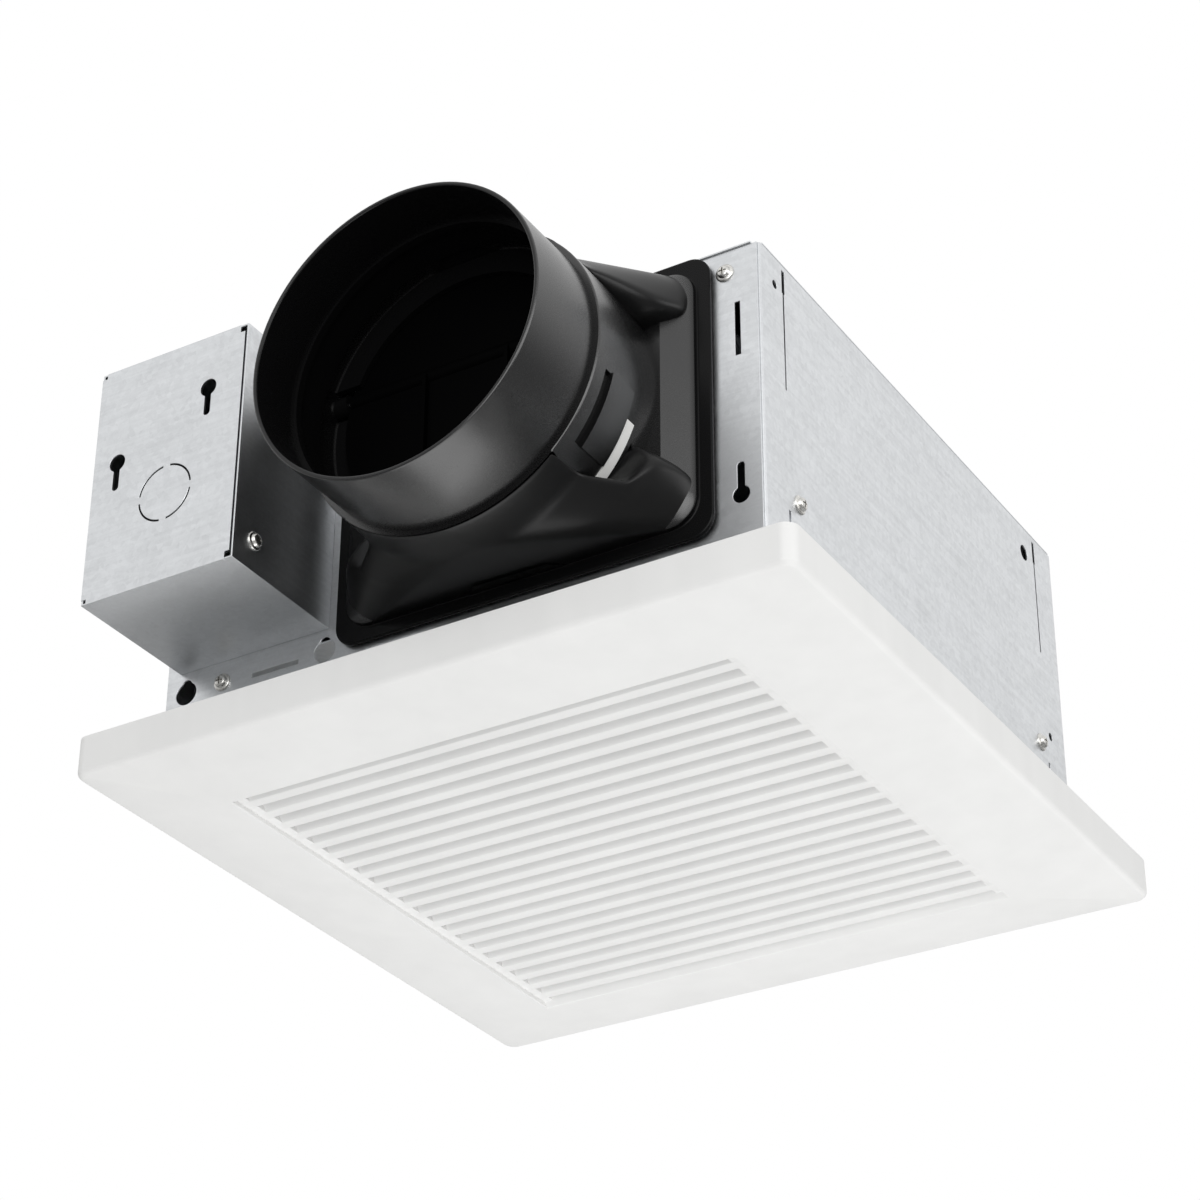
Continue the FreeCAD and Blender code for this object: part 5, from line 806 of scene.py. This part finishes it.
class FAN_OT_grille(Operator):
    """Model the louvred grille and its springs"""
    bl_idname = "fan.grille"
    bl_label = "Grille"

    def execute(self, context):
        sizes = scene_sizes()
        low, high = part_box("grille")
        shape = self.pan(sizes, high[0], low[2])
        panel = low[2] + sizes.recess
        self.blades(shape, sizes, panel)
        self.strips(shape, sizes, panel)
        for node in ("left_grille_spring", "right_grille_spring"):
            self.peg(shape, sizes, panel, *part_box(node))
        smoothed(piece_from(shape, "grille_moulding", "grille", "grille"), SHARP_GRILLE)
        for node in ("left_grille_spring", "right_grille_spring"):
            self.spring(node, sizes)
        return {"FINISHED"}

    def pan(self, sizes, half, face):
        """The rim, the sloping face and the walls of the opening, as a shell of one wall."""
        corner_steps, rim_steps, near, level = 8, 6, 0.000001, 0.9
        shape = bmesh.new()
        bmesh.ops.create_grid(shape, x_segments=1, y_segments=1, size=half)
        bmesh.ops.bevel(shape, geom=list(shape.verts), offset=sizes.rim_corner, offset_type="OFFSET",
                        segments=corner_steps, profile=0.5, affect="VERTICES", material=-1,
                        clamp_overlap=False)
        across, along = sizes.opening
        rim = extruded(shape, list(shape.faces), lambda spot: Vector((spot.x, spot.y, -sizes.rim_height)))
        mouth = extruded(shape, rim, lambda spot: Vector((math.copysign(across, spot.x),
                                                          math.copysign(along, spot.y), face)))
        climb = sizes.recess + sizes.louvre_rise
        back = extruded(shape, mouth, lambda spot: Vector((spot.x, min(spot.y, along - climb),
                                                           face + (climb if spot.y > 0.0 else sizes.recess))))
        bmesh.ops.delete(shape, geom=back, context="FACES_ONLY")
        bmesh.ops.remove_doubles(shape, verts=shape.verts, dist=near)
        bmesh.ops.recalc_face_normals(shape, faces=shape.faces)
        if not any(side.normal.z < -level for side in shape.faces):
            bmesh.ops.reverse_faces(shape, faces=shape.faces)
        rounded(shape, level_edges(shape, -sizes.rim_height), sizes.rim_edge, rim_steps)
        rounded(shape, level_edges(shape, face), sizes.louvre_edge * 2, sizes.edge_steps)
        bmesh.ops.solidify(shape, geom=list(shape.faces), thickness=sizes.grille_wall)
        return shape

    def blades(self, shape, sizes, panel):
        """Slanted blades, each with a flat front bar."""
        across, along = sizes.opening
        reach = across + sizes.grille_wall / 2
        thick, rise, bar = sizes.louvre_thickness, sizes.louvre_rise, sizes.louvre_bar
        wall = thick * BLADE_SLANT
        outline = [(0.0, 0.0), (bar, 0.0), (bar, thick), (wall - thick, thick), (wall - rise, rise),
                   (-rise, rise)]
        for index in range(sizes.louvre_count):
            start = sizes.louvre_pitch * (index + 1) - bar - along
            corners = [shape.verts.new((-reach, start + y, panel + z)) for y, z in outline]
            extruded(shape, [shape.faces.new(corners)], lambda spot: Vector((reach, spot.y, spot.z)),
                     closed=True)
            faces = {face for vert in corners for face in vert.link_faces}
            faces |= {face for near in faces for vert in near.verts for face in vert.link_faces}
            bmesh.ops.recalc_face_normals(shape, faces=list(faces))
            lengthways = [edge for edge in {edge for face in faces for edge in face.edges}
                          if abs(edge.verts[0].co.x - edge.verts[1].co.x) > reach]
            rounded(shape, lengthways, sizes.louvre_edge, sizes.edge_steps)

    def strips(self, shape, sizes, panel):
        """Flat strips that carry the blades' ends."""
        across, along = sizes.opening
        lap = sizes.grille_wall / 2
        for side in (-1.0, 1.0):
            near, far = sorted((side * (across - sizes.side_strip), side * (across + lap)))
            slab(shape, (near, -along - lap, panel + STRIP_LIFT),
                 (far, along + lap, panel + sizes.louvre_rise), sizes.louvre_edge / 2, sizes.edge_steps)

    def peg(self, shape, sizes, panel, low, high):
        """Two ears and the peg that carries a spring's coil."""
        ear, wide, reach, gap = 0.002, 0.0045, 0.004, 0.0006
        centre_z = low[2] + sizes.spring_coil
        for near, far in ((low[0] - gap - ear, low[0] - gap), (high[0] + gap, high[0] + gap + ear)):
            slab(shape, (near, -wide, panel), (far, wide, centre_z + reach), sizes.louvre_edge,
                 sizes.edge_steps)
        middle = Matrix.Translation(((low[0] + high[0]) / 2, 0.0, centre_z))
        turn = middle @ Matrix.Rotation(math.pi / 2, 4, "Y")
        bmesh.ops.create_cone(shape, cap_ends=True, segments=32, radius1=reach, radius2=reach,
                              depth=high[0] - low[0] + (gap + ear) * 2, matrix=turn)

    def spring(self, node, sizes):
        """A grille spring's wire as its own mesh, riding on the grille."""
        piece = piece_from(merged_shape(node), f"{node}_wire", "grille", node)
        smoothed(piece, SHARP_SPRING)
        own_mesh(piece)


class FAN_OT_fasteners(Operator):
    """Model the washer-head screws and dress the rivets"""
    bl_idname = "fan.fasteners"
    bl_label = "Fasteners"

    def execute(self, context):
        for node in ("housing_screws", "post_screws", "motor_screws", "wiring_box_screws", "ground_screw"):
            shape = bmesh.new()
            for spot, outward in self.places(node):
                self.screw(shape, spot, outward)
            smoothed(piece_from(shape, f"{node}_heads", "housing", node), SHARP_SCREW)
        dress("wiring_box_rivets")
        return {"FINISHED"}

    def places(self, node):
        """Where each of a node's screws sits, and which way its head points."""
        shape = merged_shape(node)
        left = set(shape.verts)
        found = []
        while left:
            island, reached = set(), [left.pop()]
            while reached:
                vert = reached.pop()
                island.add(vert)
                reached += [other for edge in vert.link_edges for other in edge.verts if other in left]
                left.difference_update(reached)
            found.append(self.place([vert.co for vert in island]))
        shape.free()
        return sorted(found, key=lambda item: tuple(item[0]))

    def place(self, spots):
        """The middle of a screw's seat and its direction: the head's tip is nearer to the widest ring."""
        low = Vector(min(spot[axis] for spot in spots) for axis in range(3))
        high = Vector(max(spot[axis] for spot in spots) for axis in range(3))
        reach = high - low
        axis = max(range(3), key=lambda index: reach[index])
        middle = (low + high) / 2
        widest = max(spots, key=lambda spot: (spot - middle).length_squared - (spot - middle)[axis] ** 2)
        outward = Vector((0.0, 0.0, 0.0))
        outward[axis] = 1.0 if widest[axis] > middle[axis] else -1.0
        seats = [spot[axis] * outward[axis] for spot in spots]
        middle[axis] = (min(seats) + SHANK) * outward[axis]
        return middle, outward

    def screw(self, shape, spot, outward):
        """A domed head with a cross recess on a washer, drawn from its crown outwards and down."""
        cells = 7
        made = bmesh.ops.create_grid(shape, x_segments=cells, y_segments=cells, size=1.0)["verts"]
        moved(made, lambda at: Vector((at.x * math.sqrt(1 - at.y ** 2 / 2),
                                       at.y * math.sqrt(1 - at.x ** 2 / 2), 0.0)) * CROWN)
        moved(made, lambda at: Vector((at.x, at.y, CROWN_TOP - CROWN_FALL * (at.length / CROWN) ** 2)))
        faces = {face for vert in made for face in vert.link_faces}
        middles = {face: face.calc_center_median() for face in faces}
        cross = [face for face, middle in middles.items()
                 if min(abs(middle.x), abs(middle.y)) < CROWN / cells
                 and middle.xy.length < CROWN * CROSS_REACH]
        rim = [edge for face in faces for edge in face.edges if edge.is_boundary]
        sunk = extruded(shape, cross, lambda at: Vector((at.x * CROSS_TAPER, at.y * CROSS_TAPER,
                                                      CROWN_TOP - CROSS_DEPTH)))
        parts = made + list({vert for face in sunk for vert in face.verts})
        for radius, height in SCREW_RINGS:
            grown = bmesh.ops.extrude_edge_only(shape, edges=rim)["geom"]
            ring = [item for item in grown if isinstance(item, bmesh.types.BMVert)]
            moved(ring, lambda at: Vector((*(at.xy.normalized() * radius), height)))
            rim = [item for item in grown if isinstance(item, bmesh.types.BMEdge) and item.is_boundary]
            parts += ring
        turn = Vector((0.0, 0.0, 1.0)).rotation_difference(outward).to_matrix().to_4x4()
        whole = [vert for vert in parts if vert.is_valid]
        bmesh.ops.contextual_create(shape, geom=rim)
        bmesh.ops.recalc_face_normals(shape, faces=list({face for vert in whole for face in vert.link_faces}))
        bmesh.ops.transform(shape, matrix=Matrix.Translation(spot) @ turn, verts=whole)


OPERATORS = (FAN_OT_stage, FAN_OT_housing, FAN_OT_wiring_box, FAN_OT_duct_adapter, FAN_OT_blower,
             FAN_OT_grille, FAN_OT_fasteners)


class FAN_PT_looks(Panel):
    """The fan's looks in the sidebar"""
    bl_label = "Exhaust Fan"
    bl_idname = "FAN_PT_looks"
    bl_space_type = "VIEW_3D"
    bl_region_type = "UI"
    bl_category = "Exhaust Fan"

    def draw(self, context):
        for operator in OPERATORS:
            self.layout.operator(operator.bl_idname)
        for group in (context.scene.fan_colours, context.scene.fan_sizes, context.scene.fan_stage):
            column = self.layout.column()
            for name in group.__annotations__:
                column.prop(group, name)


CLASSES = (FanColours, FanSizes, FanStage) + OPERATORS + (FAN_PT_looks,)


def register():
    for kind in CLASSES:
        bpy.utils.register_class(kind)
    bpy.types.Scene.fan_colours = PointerProperty(type=FanColours)
    bpy.types.Scene.fan_sizes = PointerProperty(type=FanSizes)
    bpy.types.Scene.fan_stage = PointerProperty(type=FanStage)


def unregister():
    del bpy.types.Scene.fan_stage
    del bpy.types.Scene.fan_sizes
    del bpy.types.Scene.fan_colours
    for kind in reversed(CLASSES):
        bpy.utils.unregister_class(kind)


def main():
    register()
    bpy.ops.fan.stage()
    bpy.ops.fan.housing()
    bpy.ops.fan.wiring_box()
    bpy.ops.fan.duct_adapter()
    bpy.ops.fan.blower()
    bpy.ops.fan.grille()
    bpy.ops.fan.fasteners()


if __name__ == "__main__":
    main()
